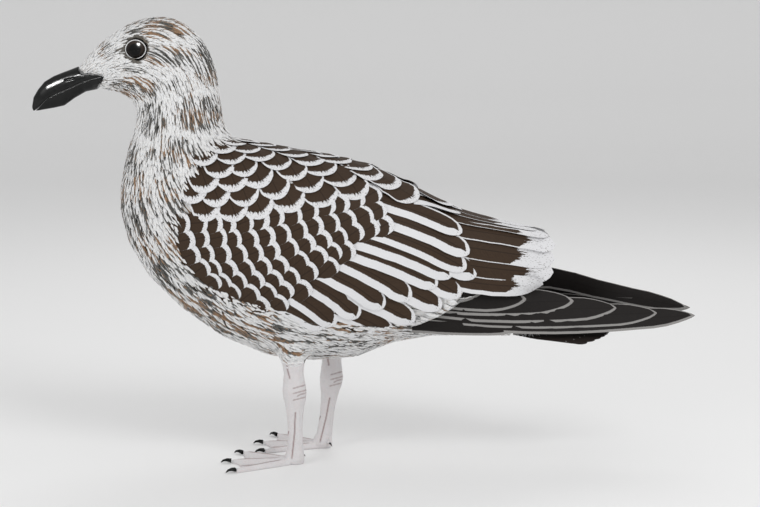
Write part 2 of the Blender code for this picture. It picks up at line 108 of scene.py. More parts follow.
def connect(made, *inputs, **named):
    """Fills a node's inputs, in order or by name, with values, hex colours or other outputs."""
    in_order = [socket for socket in made.inputs if socket.enabled]
    by_name = [(made.inputs[name.replace("_", " ")], value) for name, value in named.items()]
    for socket, value in [*zip(in_order, inputs), *by_name]:
        if isinstance(value, bpy.types.NodeSocket):
            made.id_data.links.new(value, socket)
        else:
            socket.default_value = linear(value) if isinstance(value, str) else value


def add_node(tree, kind, *inputs, **named):
    """Adds a node and gives its first output. The inputs are filled in order or by name, and a
    name that starts with a small letter is a setting of the node."""
    made = tree.nodes.new("ShaderNode" + kind)
    for name, value in named.items():
        if name[0].islower():
            setattr(made, name, value)
    connect(made, *inputs, **{name: value for name, value in named.items() if name[0].isupper()})
    return next(output for output in made.outputs if output.enabled)


def new_material(name, **values):
    """A material, what adds a node to it, and its shader, which keeps plain values itself."""
    material = bpy.data.materials.new(name)
    material.use_nodes = True
    shader = material.node_tree.nodes["Principled BSDF"]
    connect(shader, **values)
    return material, functools.partial(add_node, material.node_tree), shader


def get_material(name):
    return bpy.data.materials.get(name) or MATERIALS[name](name)


# ---------------------------------------------------------------- objects and meshes

def add_object(name, data):
    obj = bpy.data.objects.new(name, data)
    bpy.context.scene.collection.objects.link(obj)
    return obj


def new_object(name, mesh, material):
    mesh.materials.clear()
    mesh.materials.append(get_material(material))
    return add_object(name, mesh)


def finish_piece(obj, replaced=()):
    """Every piece is still, so all of them ride on the root."""
    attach(obj, "root")
    if replaced:
        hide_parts(*replaced)


def smooth_mesh(bm, name):
    """The bmesh as a smooth shaded mesh. The bmesh is used up."""
    mesh = bpy.data.meshes.new(name)
    bm.to_mesh(mesh)
    bm.free()
    mesh.shade_smooth()
    return mesh


def evaluated_mesh(obj):
    graph = bpy.context.evaluated_depsgraph_get()
    return bpy.data.meshes.new_from_object(obj.evaluated_get(graph))


def discard(obj):
    mesh = obj.data
    bpy.data.objects.remove(obj)
    bpy.data.meshes.remove(mesh)


def merged_copy(names):
    """One bmesh of these nodes' solids, with their loose triangles joined."""
    bm = bmesh.new()
    for name in names:
        bm.from_mesh(frame["nodes"][name].data)
    bmesh.ops.remove_doubles(bm, verts=bm.verts, dist=0.002 * MM)
    return bm


def remeshed(bm, voxel):
    """The bmesh as one closed skin of even squares of this size, in millimetres."""
    obj = add_object("remesh", smooth_mesh(bm, "remesh"))
    modifier = obj.modifiers.new("voxels", "REMESH")
    modifier.mode = "VOXEL"
    modifier.voxel_size = voxel * MM
    result = evaluated_mesh(obj)
    made = bmesh.new()
    made.from_mesh(result)
    discard(obj)
    bpy.data.meshes.remove(result)
    return made


def smoothed(bm, times):
    for _ in range(times):
        bmesh.ops.smooth_vert(bm, verts=bm.verts, factor=0.5, use_axis_x=True,
                              use_axis_y=True, use_axis_z=True)
    return bm


def places(bm):
    """Places and normals of a bmesh's vertices, as arrays."""
    return tuple(np.array([getattr(v, what)[:] for v in bm.verts]) for what in ("co", "normal"))


def set_places(bm, points):
    for vertex, point in zip(bm.verts, points):
        vertex.co = point


def read_array(items, name, width=1, kind=float):
    """One property of many mesh elements, a row each."""
    values = np.empty(len(items) * width, kind)
    items.foreach_get(name, values)
    return values.reshape(-1, width) if width > 1 else values


def add_map(mesh, name, values):
    """A UV map from one place for each corner."""
    layer = mesh.uv_layers.new(name=name, do_init=False)
    layer.uv.foreach_set("vector", values.astype(np.float32).ravel())


def add_values(mesh, name, values):
    """An attribute of the points: four numbers each, or one."""
    colour = values.shape[-1] == 4
    layer = mesh.attributes.new(name, "FLOAT_COLOR" if colour else "FLOAT", "POINT")
    layer.data.foreach_set("color" if colour else "value", values.astype(np.float32).ravel())


# ---------------------------------------------------------------- measures

def unit(vectors):
    return vectors / np.maximum(np.linalg.norm(vectors, axis=-1, keepdims=True), 1e-12)


def ramp(values, low, high):
    """0 below low, 1 above high and smooth between them. low may be the larger one."""
    t = np.clip((values - low) / (high - low), 0, 1)
    return t * t * (3 - 2 * t)


def curve_through(points, count):
    """Evenly numbered points on the Catmull-Rom curve through these (x, z) places."""
    points = np.array([(x, 0, z) for x, z in points], float)
    padded = np.vstack([2 * points[0] - points[1], points, 2 * points[-1] - points[-2]])
    place = np.linspace(0, len(points) - 1, count)
    first = np.minimum(place.astype(int), len(points) - 2)
    t = (place - first)[:, None]
    a, b, c, d = (padded[first + i] for i in range(4))
    return 0.5 * (2 * b + (c - a) * t + (2 * a - 5 * b + 4 * c - d) * t ** 2
                  + (3 * b - a - 3 * c + d) * t ** 3)


def wander(points, size, seed):
    """A smooth random field from -1 to 1 over points in metres, with features of this size in mm."""
    rng = np.random.default_rng(seed)
    total = np.zeros(len(points))
    for _ in range(6):
        way = unit(rng.normal(size=3)) * rng.uniform(0.6, 1.6)
        total += np.sin(points @ way * (2 * math.pi / (size * MM)) + rng.uniform(0, 2 * math.pi))
    return np.clip(total / 3.0, -1, 1)


class Lie:
    """The body's middle line, and how the plumage lies along it."""

    def __init__(self):
        self.line = curve_through([(x, z) for _, x, z in AXIS], AXIS_POINTS) * MM
        steps = np.linalg.norm(np.diff(self.line, axis=0), axis=1)
        self.length = np.concatenate([[0.0], np.cumsum(steps)])
        self.ways = unit(np.gradient(self.line, axis=0))
        share = (AXIS_POINTS - 1) / (len(AXIS) - 1)
        self.at = {name: self.length[round(i * share)] for i, (name, _, _) in enumerate(AXIS)}

    def read(self, points):
        """For each point: the way the feathers lie, how far along the line it is, and the angle
        round it, 0 on the back and negative on the left."""
        parts = [self.read_part(points[i:i + PART]) for i in range(0, len(points), PART)]
        return tuple(np.concatenate(values) for values in zip(*parts))

    def read_part(self, points):
        apart = np.linalg.norm(points[:, None] - self.line[None], axis=2)
        near = apart - apart.min(axis=1, keepdims=True)
        weight = np.exp(-(near / AXIS_REACH) ** 2 * 4)
        weight /= weight.sum(axis=1, keepdims=True)
        way = unit(weight @ self.ways)
        offset = points - weight @ self.line
        back = np.stack([-way[:, 2], np.zeros(len(way)), way[:, 0]], axis=1)
        angle = np.arctan2(offset[:, 1], (offset * back).sum(axis=1))
        return way, weight @ self.length, angle

    def between(self, along, values):
        """Interpolates values that are given at named places of the line."""
        return np.interp(along, [self.at[name] for name in values], list(values.values()))


LIE = Lie()


class Surface:
    """A smooth surface that feathers are laid on."""

    def __init__(self, bm):
        bm.normal_update()
        self.tree = BVHTree.FromBMesh(bm)
        self.points, self.normals = places(bm)
        self.faces = [[v.index for v in face.verts] for face in bm.faces]

    def with_normals(self, hits):
        """The places that were hit, and the surface's smooth normals there."""
        spots = np.array([hit[0][:] for hit in hits])
        normals = []
        for spot, hit in zip(spots, hits):
            corners = self.faces[hit[2]]
            near = np.linalg.norm(self.points[corners] - spot, axis=1) + 1e-5
            normals.append((self.normals[corners] / near[:, None]).sum(axis=0))
        return spots, unit(np.array(normals))

    def nearest(self, points):
        return self.with_normals([self.tree.find_nearest(point) for point in points])

    def outside(self, points, ways, start=0.3):
        """The first places met from outside, coming back along these ways to the points."""
        hits = []
        for point, way in zip(points, ways):
            hit = self.tree.ray_cast(Vector(point) + Vector(way) * start, -Vector(way))
            hits.append(self.tree.find_nearest(point) if hit[0] is None else hit)
        return self.with_normals(hits)


# ---------------------------------------------------------------- feathers

# Points round a vane: across from 1 to -1 and back, and out of the surface.
SMALL_RING = [(1, 0), (0, 1), (-1, 0), (0, -0.6)]
LARGE_RING = [(1, 0), (0.6, 0.5), (0.14, 0.6), (0, 1), (-0.14, 0.6), (-0.6, 0.5), (-1, 0),
              (-0.6, -0.35), (-0.2, -0.45), (0, -0.6), (0.2, -0.45), (0.6, -0.35)]
BAKE_PATCH = 0.003  # how much of the bake map a small feather takes up
SHARP_ANGLE = 48  # degrees between faces, past which a vane's edge is shaded sharp


def vane_template(stations, around):
    """A closed tube: one circle extruded from station to station. Gives each point's station and
    place round the vane, and the faces."""
    bm = bmesh.new()
    bmesh.ops.create_circle(bm, cap_ends=True, segments=around, radius=1.0)
    cap = bm.faces[:]
    for _ in range(stations - 1):
        made = bmesh.ops.extrude_face_region(bm, geom=cap)["geom"]
        moved = [v for v in made if isinstance(v, bmesh.types.BMVert)]
        cap = [f for f in made if isinstance(f, bmesh.types.BMFace)]
        bmesh.ops.translate(bm, verts=moved, vec=(0, 0, 1))
    bmesh.ops.recalc_face_normals(bm, faces=bm.faces)
    bm.verts.index_update()
    station = np.array([round(v.co.z) for v in bm.verts])
    turns = [math.atan2(v.co.y, v.co.x) for v in bm.verts]
    place = np.array([round(turn / math.tau * around) % around for turn in turns])
    faces = [[v.index for v in face.verts] for face in bm.faces]
    bm.free()
    return station, place, faces


def joined_mesh(name, points, faces):
    """One mesh of many copies: points is (copies, points, 3), faces is one copy's faces."""
    copies, each = points.shape[:2]
    corners = np.concatenate(faces)
    loops = (corners[None] + np.arange(copies)[:, None] * each).ravel()
    totals = np.tile([len(face) for face in faces], copies)
    mesh = bpy.data.meshes.new(name)
    mesh.vertices.add(copies * each)
    mesh.vertices.foreach_set("co", points.astype(np.float32).ravel())
    mesh.loops.add(len(loops))
    mesh.loops.foreach_set("vertex_index", loops.astype(np.int32))
    mesh.polygons.add(len(totals))
    mesh.polygons.foreach_set("loop_start", (np.cumsum(totals) - totals).astype(np.int32))
    mesh.polygons.foreach_set("loop_total", totals.astype(np.int32))
    mesh.update(calc_edges=True)
    mesh.shade_smooth()
    mesh.set_sharp_from_angle(angle=math.radians(SHARP_ANGLE))
    return mesh, loops


def build_vanes(name, centre, normal, half, look, ring, thick, camber, tilt=0.0, bake=None):
    """One mesh of many feathers. centre and normal are (feathers, stations, 3) in metres, half is
    (feathers, stations) in mm, and look is four numbers a feather for the material. bake is each
    small feather's place on the bake map. Large ones have none, and are laid out side by side."""
    count, stations = half.shape
    station, place, faces = vane_template(stations, len(ring))
    across, out = np.array(ring, float)[place].T
    along = unit(np.gradient(centre, axis=1))
    side = unit(np.cross(normal, along))
    u, h = across[None, :, None], out[None, :, None]
    width = half[:, station, None] * MM
    tilt = np.broadcast_to(np.asarray(tilt, float).reshape(-1, 1, 1), (count, 1, 1))
    thin = np.clip(half[:, station, None] / half.max(axis=1)[:, None, None], 0.25, 1)
    rise = h * thick * MM * thin + (tilt * u - camber * u * u) * width
    points = (centre[:, station] + side[:, station] * (u * width)
              + np.cross(along, side)[:, station] * rise)
    mesh, loops = joined_mesh(name, points, faces)

    def add_point_map(name, first, second):
        values = np.stack(np.broadcast_arrays(first, second), axis=-1)
        add_map(mesh, name, values.reshape(-1, 2)[loops])

    steps = np.linalg.norm(np.diff(centre, axis=1), axis=2)
    rest = np.concatenate([np.zeros((count, 1)), np.cumsum(steps[:, ::-1], axis=1)], axis=1)
    rest = rest[:, ::-1] / MM
    add_point_map("Vane", (u * width)[..., 0] / MM, rest[:, station])
    local = np.stack(np.broadcast_arrays(station / (stations - 1), 0.5 + 0.45 * across), axis=1)
    if bake is None:
        columns = max(1, math.ceil(math.sqrt(count / 4)))
        cell = np.stack([np.arange(count) % columns, np.arange(count) // columns], axis=1)
        flat = (cell[:, None] + 0.04 + 0.92 * local) / (columns, math.ceil(count / columns))
    else:
        _, lengthwise, angle = LIE.read(points.reshape(-1, 3))
        add_point_map("Lie", lengthwise / MM, angle * MEAN_RADIUS)
        flat = bake[:, None] + (local - 0.5) * BAKE_PATCH
    add_point_map("OFBake", flat[..., 0], flat[..., 1])
    mesh.uv_layers["Vane"].active_render = True
    add_values(mesh, "look", np.repeat(look[:, None], len(station), axis=1))
    # How far inside the outline each point lies, in mm.
    apart = rest[:, :, None] - rest[:, None, :]
    inside = np.sqrt(apart ** 2 + half[:, None, :] ** 2).min(axis=2)
    add_values(mesh, "edge", (1 - np.abs(across))[None] * inside[:, station])
    return mesh


def trace(surface, roots, lengths, shares, lifts, turn):
    """Middle lines of small feathers that start at the roots and follow the lie of the plumage.
    shares are the stations' places from root to tip, and lifts their heights in mm."""
    here, normal = surface.nearest(roots)
    points, normals = [here], [normal]
    cos, sin = np.cos(turn)[:, None], np.sin(turn)[:, None]
    for before, share in zip(shares, shares[1:]):
        way, _, _ = LIE.read(here)
        way = unit(way - normal * (way * normal).sum(axis=1, keepdims=True))
        way = way * cos + np.cross(normal, way) * sin
        here, normal = surface.nearest(here + way * (lengths * MM * (share - before))[:, None])
        points.append(here)
        normals.append(normal)
    points, normals = np.stack(points, axis=1), np.stack(normals, axis=1)
    return points + normals * lifts[..., None] * MM, normals


# ---------------------------------------------------------------- shared surfaces

SURFACES = {}
OUTER_VOXEL, SKIN_VOXEL, CLAW_VOXEL = 3.0, 2.8, 0.4


def coat_depth(points):
    """How deep the skin lies under the plumage's surface, in mm."""
    _, along, _ = LIE.read(points)
    depth = LIE.between(along, {"bill root": 0.7, "lores": 1.6, "crown": 2.2, "neck": 3.6,
                                "breast": 5.0, "belly": 5.5, "vent": 5.0, "tail root": 3.0})
    low = ramp(points[:, 2] / MM, 122, 104)
    return depth * (1 - low) + 2.2 * low


def make_surfaces():
    """Keeps the outer form of the plumage, and gives the skin inside it as a bmesh."""
    outer = smoothed(remeshed(merged_copy(FLESH + OUTER_ALSO), OUTER_VOXEL), 2)
    SURFACES["outer"] = Surface(outer)
    outer.free()
    flesh = smoothed(remeshed(merged_copy(FLESH), SKIN_VOXEL), 3)
    flesh.normal_update()
    points, normals = places(flesh)
    set_places(flesh, points - normals * coat_depth(points)[:, None] * MM)
    return smoothed(flesh, 2)


def on_wing(points):
    """True where a point lies on the folded wings or the mantle's scaly feathers."""
    x, _, z = (points / MM).T
    low_edge = np.interp(x, [-178, -170, -150, -120, -90, -60, -30, 0, 30, 60, 90, 110],
                         [230, 208, 190, 176, 165, 154, 147, 143, 141, 148, 166, 200])
    front = np.interp(z, [150, 180, 206, 230, 262, 290, 306, 316, 322],
                      [-120, -150, -169, -175, -170, -163, -150, -136, -122])
    return (z > low_edge) & (x > front)


# ---------------------------------------------------------------- markings

STREAK_PATCHES = [
    # where, x and z of the middle, half length and height, how dense, and how warm
    ("crown", -198, 431, 46, 14, 0.86, 0.40), ("forehead", -250, 408, 14, 10, 0.60, 0.55),
    ("behind the eye", -188, 404, 30, 11, 0.95, 0.66), ("below the eye", -224, 391, 22, 5, 0.6, 0.1),
    ("cheek", -222, 373, 30, 13, 0.95, 0.66), ("nape", -150, 402, 17, 32, 0.98, 0.15),
    ("throat", -204, 343, 17, 22, 0.82, 0.05), ("hind neck", -160, 350, 27, 22, 0.92, 0.40),
    ("neck side", -180, 313, 28, 18, 0.88, 0.60), ("neck front", -231, 298, 15, 28, 0.82, 0.50),
    ("chin", -240, 368, 16, 6, 0.5, 0.3), ("lower nape", -178, 376, 22, 8, 0.6, 0.1),
]


def markings(points):
    """Streak density, warmth, the dark mask round the eye and the patches' own field, for each
    point. The materials read the first three."""
    x, _, z = (points / MM).T
    _, _, angle = LIE.read(points)
    patches = 0.5 + 0.5 * wander(points, 44, 3)
    density = 0.08 + 0.12 * patches + ramp(z, 330, 270) * (0.46 + 0.36 * patches)
    warmth = 0.3 + 0.45 * ramp(wander(points, 60, 8), -0.2, 0.6)
    change = 0.5 * wander(points, 30, 9)
    for _, px, pz, length, height, amount, tone in STREAK_PATCHES:
        near = ramp(np.hypot((x - px) / length, (z - pz) / height), 1.15, 0.6)
        density = np.maximum(density, amount * near)
        warmth = warmth * (1 - near) + near * np.clip(tone + change, 0, 1)
    belly = ramp(z, 140, 112) * ramp(np.abs(angle), 2.2, 2.7)
    rump = ramp(x, 40, 80) * ramp(z, 142, 156)
    density = density * (1 - 0.4 * belly) * (1 - 0.75 * rump)
    eye_x, _, eye_z = np.array(bpy.context.scene.gull_head.eye_centre) / MM
    dx, dz = x - eye_x, z - eye_z
    ring = ramp(np.hypot(dx, dz), 14.6, 12.0)
    front = ramp(np.abs(dz + 0.5) - (8 - 0.45 * np.abs(dx)), 2.0, 0.0) * (dx < 0) * (dx > -19)
    behind = ramp(np.abs(dz - 1.5 - 0.1 * dx) - 3.4 * (1 - dx / 40), 2.0, -1.5)
    behind = behind * (dx > 0) * (dx < 38)
    mask = np.maximum.reduce([ring, front, behind * 0.5])
    return np.stack([np.clip(density, 0, 1), warmth, mask, patches], axis=1)


# ---------------------------------------------------------------- materials

def body_feather(name):
    """Down and body feathers: soft keratin barbs, matt and faintly silky, white with streaks."""
    plumage = bpy.context.scene.gull_plumage
    material, node, shader = new_material(
        name, Roughness=0.72, Sheen_Weight=0.15, Sheen_Roughness=0.5, Specular_IOR_Level=0.25,
        Subsurface_Weight=0.3, Subsurface_Scale=0.0006, Subsurface_Radius=(1.0, 0.9, 0.8))
    lie = node("UVMap", uv_map="Lie")
    vane = node("UVMap", uv_map="Vane")
    look = node("Attribute", attribute_name="look")
    density, warmth, mask = node("SeparateColor", look).node.outputs
    # Streaks are about 2 mm wide and 20 mm long.
    stretch = node("Mapping", lie, Scale=(1 / 22, 1 / 2.2, 1))
    streaks = node("TexNoise", stretch, 1.0, 2.0, noise_dimensions="2D")
    limit = node("MapRange", density, 0.0, 1.0, 0.74, 0.44)
    streak = node("MapRange", node("Math", streaks, limit, operation="SUBTRACT"), 0.0, 0.03)
    fine = node("Mapping", lie, Scale=(1 / 7, 1 / 0.9, 1))
    grain = node("TexNoise", fine, 1.0, 2.0, noise_dimensions="2D")
    grain = node("Math", grain, 0.5, operation="SUBTRACT")
    # Loose barbs run outwards and towards the tip.
    across, rest, _ = node("SeparateXYZ", vane).node.outputs
    out = node("Math", across, operation="ABSOLUTE")
    slant = node("Math", node("Math", out, 0.8, operation="MULTIPLY"),
                 node("Math", rest, 0.35, operation="MULTIPLY"), operation="ADD")
    barb_place = node("CombineXYZ", node("Math", slant, 5.0, operation="MULTIPLY"),
                      node("Math", out, 0.7, operation="MULTIPLY"))
    barbs = node("TexNoise", barb_place, 1.0, 1.0, noise_dimensions="2D")
    tone = node("Math", warmth, node("Math", grain, 2.2, operation="MULTIPLY"), operation="ADD")
    tan = node("Math", tone, 0.62, operation="GREATER_THAN")
    dark = node("Mix", tan, (*plumage.streak_grey, 1), (*plumage.streak_tan, 1),
                data_type="RGBA")
    white = node("Mix", node("MapRange", barbs, 0.35, 0.7), (*plumage.white, 1), "#DEDDDC",
                 data_type="RGBA")
    body = node("Mix", streak, white, dark, data_type="RGBA")
    face = node("Mix", node("Math", warmth, 0.35, operation="MULTIPLY"), "#5E5E5A", "#8A6F58",
                data_type="RGBA")
    edge = node("Math", mask, node("Math", grain, 0.5, operation="MULTIPLY"), operation="ADD")
    colour = node("Mix", node("MapRange", edge, 0.4, 0.6), body, face, data_type="RGBA")
    bump = node("Bump", Height=barbs, Strength=0.3, Distance=0.0002)
    connect(shader, Base_Color=colour, Normal=bump)
    return material


def vane_material(name, dark, warm, pale, rag):
    """Wing feathers: firm keratin vanes, satin along the barbs, with pale worn edges. look holds
    the pale edge's width on the + side, on the - side and at the tip, in cm, and how ragged the
    tip is. rag is how far the edge itself wanders, in mm."""
    material, node, shader = new_material(name, Roughness=0.6, Specular_IOR_Level=0.15)
    vane = node("UVMap", uv_map="Vane")
    look = node("Attribute", attribute_name="look")
    plus_edge, minus_edge, tip_edge = node("SeparateColor", look).node.outputs
    inside = node("Attribute", attribute_name="edge").node.outputs["Fac"]
    across, rest, _ = node("SeparateXYZ", vane).node.outputs
    out = node("Math", across, operation="ABSOLUTE")
    # Barbs run outwards and towards the tip.
    lean = node("Math", rest, node("Math", out, 0.9, operation="MULTIPLY"), operation="ADD")
    barb_place = node("Mapping", node("CombineXYZ", lean, across), Scale=(1 / 1.3, 1 / 7.0, 1))
    barbs = node("TexNoise", barb_place, 1.0, 3.0, 0.7)
    tatter_place = node("Mapping", vane, Scale=(1 / 1.3, 1 / 9.0, 1))
    tatters = node("TexNoise", tatter_place, 1.0, 3.0, 0.75)
    side = node("Mix", node("Math", across, 0.0, operation="GREATER_THAN"), minus_edge, plus_edge)
    reach = node("Math", tip_edge, 20.0, 1.0, operation="MULTIPLY_ADD")
    gone = node("Math", rest, reach, operation="DIVIDE")
    near_tip = node("Math", 1.0, gone, operation="SUBTRACT", use_clamp=True)
    near_tip = node("Math", node("Math", near_tip, 1.6, operation="MULTIPLY"), 1.0, 0.2,
                    operation="SMOOTH_MIN")
    width = node("Mix", near_tip, side, tip_edge)
    gap = node("Math", node("Math", width, 10.0, operation="MULTIPLY"), inside,
               operation="SUBTRACT")
    worn = node("Math", node("Math", barbs, 0.5, operation="SUBTRACT"), rag, operation="MULTIPLY")
    rough = node("Math", look.node.outputs["Alpha"], 100.0, operation="MULTIPLY")
    torn = node("Math", node("Math", tatters, 0.5, operation="SUBTRACT"),
                node("Math", rough, near_tip, operation="MULTIPLY"), operation="MULTIPLY")
    gap = node("Math", gap, node("Math", worn, torn, operation="ADD"), operation="ADD")
    cover = node("MapRange", gap, -0.15, 0.25)
    speck_place = node("Mapping", vane, Scale=(1 / 0.8, 1 / 2.4, 1))
    specks = node("MapRange", node("TexNoise", speck_place, 1.0, 1.0), 0.62, 0.68, 0.0, 0.75)
    specks = node("Math", specks, near_tip, operation="MULTIPLY")
    cover = node("Math", cover, node("Math", 1.0, specks, operation="SUBTRACT"),
                 operation="MULTIPLY")
    shade = node("Mix", barbs, dark, warm, data_type="RGBA")
    shaft = node("MapRange", out, 0.3, 0.7, 0.4, 0.0)
    shade = node("Mix", shaft, shade, "#120D0B", data_type="RGBA")
    colour = node("Mix", cover, shade, pale, data_type="RGBA")
    bump = node("Bump", Height=barbs, Strength=0.4, Distance=0.0004)
    connect(shader, Base_Color=colour, Normal=bump)
    return material


def brown_vane(name):
    return vane_material(name, "#32261E", "#453629", "#DCDCDE", 1.5)


def black_vane(name):
    return vane_material(name, "#161616", "#241F1D", "#8E8C8A", 0.7)


def tail_vane(name):
    """Tail feathers: white keratin vanes with brown mottling and a dark band before the tip."""
    material, node, shader = new_material(name, Roughness=0.6, Specular_IOR_Level=0.3)
    vane = node("UVMap", uv_map="Vane")
    rest = node("SeparateXYZ", vane).node.outputs[1]
    spots = node("TexNoise", node("Mapping", vane, Scale=(1 / 5, 1 / 3, 1)), 1.0, 4.0)
    level = node("Math", node("MapRange", rest, 50.0, 80.0, 0.0, 0.32),
                 node("MapRange", rest, 0.6, 2.2, 0.5, 0.0), operation="ADD")
    gap = node("Math", spots, node("Math", level, 0.3, operation="ADD"), operation="SUBTRACT")
    colour = node("Mix", node("MapRange", gap, -0.02, 0.04), "#E4E4E4", "#261F1C",
                  data_type="RGBA")
    connect(shader, Base_Color=colour)
    return material


def bare_leg_skin(name):
    """Gull leg skin: waxy, pale pinkish grey, with faint darker lines between the scales and painted
    shade in the sunk folds.
    """
    material, node, shader = new_material(
        name, Roughness=0.45, Subsurface_Weight=0.06, Subsurface_Scale=0.002,
        Specular_IOR_Level=0.4, Subsurface_Radius=(1.0, 0.4, 0.3))
    where = node("TexCoord").node.outputs["Object"]
    cells = node("TexVoronoi", node("Mapping", where, Scale=(1, 1, 1.6)), Scale=520.0,
                 feature="DISTANCE_TO_EDGE")
    crease = node("MapRange", cells, 0.0, 0.12, 1.0, 0.0)
    pale = node("Mix", node("TexNoise", where, 90.0, 3.0), "#DAD8D9", "#D2CDCE",
                data_type="RGBA")
    pale = node("Mix", node("Math", crease, 0.18, operation="MULTIPLY"), pale, "#968C8B",
                data_type="RGBA")
    # Painted shade: the sunk folds of the legs are coloured a darker mauve.
    folds = node("Attribute", attribute_name="fold").node.outputs["Fac"]
    colour = node("Mix", node("Math", folds, 0.8, operation="MULTIPLY"), pale, "#8A7170",
                  data_type="RGBA")
    bump = node("Bump", Height=cells, Strength=0.4, Distance=0.0003)
    connect(shader, Base_Color=colour, Normal=bump)
    return material


def black_horn(name):
    """Bill and claws: smooth black keratin with a soft polish and faint growth lines."""
    material, node, shader = new_material(name, Roughness=0.33, Specular_IOR_Level=0.22)
    where = node("TexCoord").node.outputs["Object"]
    cloud = node("TexNoise", where, 140.0, 4.0)
    colour = node("Mix", cloud, "#08090A", "#151514", data_type="RGBA")
    rough = node("MapRange", cloud, 0.3, 0.7, 0.14, 0.26)
    grain = node("TexNoise", node("Mapping", where, Scale=(250, 900, 900)), 1.0, 2.0)
    bump = node("Bump", Height=grain, Strength=0.12, Distance=0.0003)
    connect(shader, Base_Color=colour, Roughness=rough, Normal=bump)
    return material


def wet_eye(name):
    """A gull's young eye: a black pupil in a very dark brown iris, under a wet clear coat."""
    material, node, shader = new_material(name, Roughness=0.3, Coat_Weight=0.25,
                                          Coat_Roughness=0.02, Specular_IOR_Level=0.05)
    centre_x, _, centre_z = bpy.context.scene.gull_head.eye_centre
    x, _, z = node("SeparateXYZ", node("TexCoord").node.outputs["Object"]).node.outputs
    dx = node("Math", x, centre_x, operation="SUBTRACT")
    dz = node("Math", z, centre_z, operation="SUBTRACT")
    squares = node("Math", node("Math", dx, dx, operation="MULTIPLY"),
                   node("Math", dz, dz, operation="MULTIPLY"), operation="ADD")
    away = node("Math", squares, operation="SQRT")
    # The pupil's edge lies 5.2 to 6.0 mm from the middle, and the iris's 8.2 to 9.2 mm.
    iris = node("MapRange", away, 0.0052, 0.0060)
    rim = node("MapRange", away, 0.0082, 0.0092)
    brown = node("Mix", iris, "#020202", "#0D0907", data_type="RGBA")
    connect(shader, Base_Color=node("Mix", rim, brown, "#050404", data_type="RGBA"))
    return material


def lid_skin(name):
    """The bare rim of the eyelids: fine pale skin."""
    return new_material(name, Roughness=0.6, Base_Color="#DADADA")[0]


def studio_paint(name):
    """A matt painted studio floor that runs up into the backdrop."""
    return new_material(name, Roughness=0.9, Specular_IOR_Level=0.1, Base_Color="#F1F1F1")[0]


MATERIALS = {maker.__name__: maker for maker in (
    body_feather, brown_vane, black_vane, tail_vane, bare_leg_skin, black_horn, wet_eye, lid_skin,
    studio_paint)}


# ---------------------------------------------------------------- guide lines of the left wing

# (x, z) places seen from the side, front to back. The right wing is the left one mirrored.
SCAPULAR_EDGE = [(-176, 262), (-151, 248), (-107, 248), (-69, 256), (-31, 262), (2, 268), (31, 276),
                 (60, 270), (90, 256)]
COVERT_ROWS = [
    # upper end, middle, lower end of each row of coverts, from the shoulder backwards
    ((-169, 247), (-161, 218), (-141, 190)), ((-153, 249), (-144, 209), (-121, 178)),
    ((-138, 249), (-126, 207), (-98, 172)), ((-125, 249), (-110, 208), (-83, 176)),
    ((-109, 250), (-95, 212), (-70, 183)), ((-93, 252), (-80, 215), (-58, 189)),
    ((-79, 255), (-66, 226), (-46, 201)), ((-63, 259), (-52, 234), (-34, 213)),
    ((-48, 262), (-38, 238), (-22, 218)), ((-31, 265), (-24, 243), (-12, 223)),
    ((-17, 267), (-10, 249), (-1, 234)), ((-3, 271), (4, 256), (12, 242)),
    ((12, 275), (16, 262), (21, 252)),
]
COVERT_ACROSS = 15.0  # from one covert's tip to the next in its row
GREATER_COVERTS = [
    # root and tip, from the uppermost downwards
    ((4, 284), (99, 252)), ((-2, 272), (96, 234)), ((0, 257), (103, 214)), ((-1, 242), (100, 199)),
    ((-12, 231), (86, 192)), ((-19, 221), (72, 183)), ((-30, 213), (46, 170)), ((-48, 203), (20, 162)),
    ((-60, 192), (-5, 152)), ((-78, 181), (-28, 144)), ((-97, 172), (-38, 141)),
]
# One more lies where the back is nearly level. Its ends are found from within: x, and degrees
# from the top.
RIDGE_COVERT = ((36, 31.0), (96, 28.5))
SECONDARIES = [((20, 228), (110, 191)), ((5, 216), (95, 172)), ((-14, 200), (76, 160)),
               ((-35, 184), (50, 146)), ((-55, 170), (28, 136)), ((-74, 160), (2, 133))]
WITHIN = 205.0  # height of the places within the body that such ends are found from
TERTIALS = [
    # x of the tip, then how far round from the top, in degrees, at the root and at the tip
    (160, 12, 6), (172, 24, 20), (183, 38, 36), (189, 53, 55), (188, 69, 80), (187, 85, 104),
    (177, 100, 124),
]
TERTIAL_ROOT = 62  # x of their roots
SHELL_END = 170  # x where the solid of the tertials ends
PRIMARIES = [
    # root, middle and tip, from the innermost and shortest to the longest
    ((48, 178), (83, 173), (117, 171)), ((48, 172), (105, 166), (161, 162)),
    ((48, 166), (130, 160), (209, 159)), ((48, 160), (150, 152.5), (252, 152)),
    ((48, 155), (170, 146.5), (293, 146.5)), ((48, 150), (195, 141), (332, 143.5)),
    ((48, 146), (95, 146), (143, 145)), ((48, 142), (108, 141), (167, 140.5)),
    # Only in the right hand: its upper edge is the top of the folded hands.
    ((48, 190), (190, 168.5), (330, 143)),
]
PRIMARY_ORDER = [0, 1, 2, 3, 4, 5, 5.4, 5.2, 6.0]  # how deep each lies in the stack
# Where the stacked primaries lie: x, y of their upper and lower edges, and in most rows z of both.
HAND = [
    (40, -42, -38, 205, 135), (77, -43, -40.5), (96, -43.8, -41.5, 198, 133),
    (116, -37.5, -40.5), (147, -25.5, -38.0, 189, 129.6), (181, -13.5, -35.5, 179.5, 130),
    (214, -10.5, -31.5, 170, 132.6), (248, -9.0, -26.5, 163.5, 134.4),
    (284, -7.5, -20.5, 157.8, 135), (314, -6.5, -14.5, 153, 136.2), (334, -6.8, -9.5, 146, 141),
]


def on_side(guides):
    """Where lines along Y first meet the left side of the plumage."""
    points = np.array([(x, 0.0, z) for x, z in guides]) * MM
    ways = np.tile([0.0, -1.0, 0.0], (len(points), 1))
    return SURFACES["outer"].outside(points, ways)


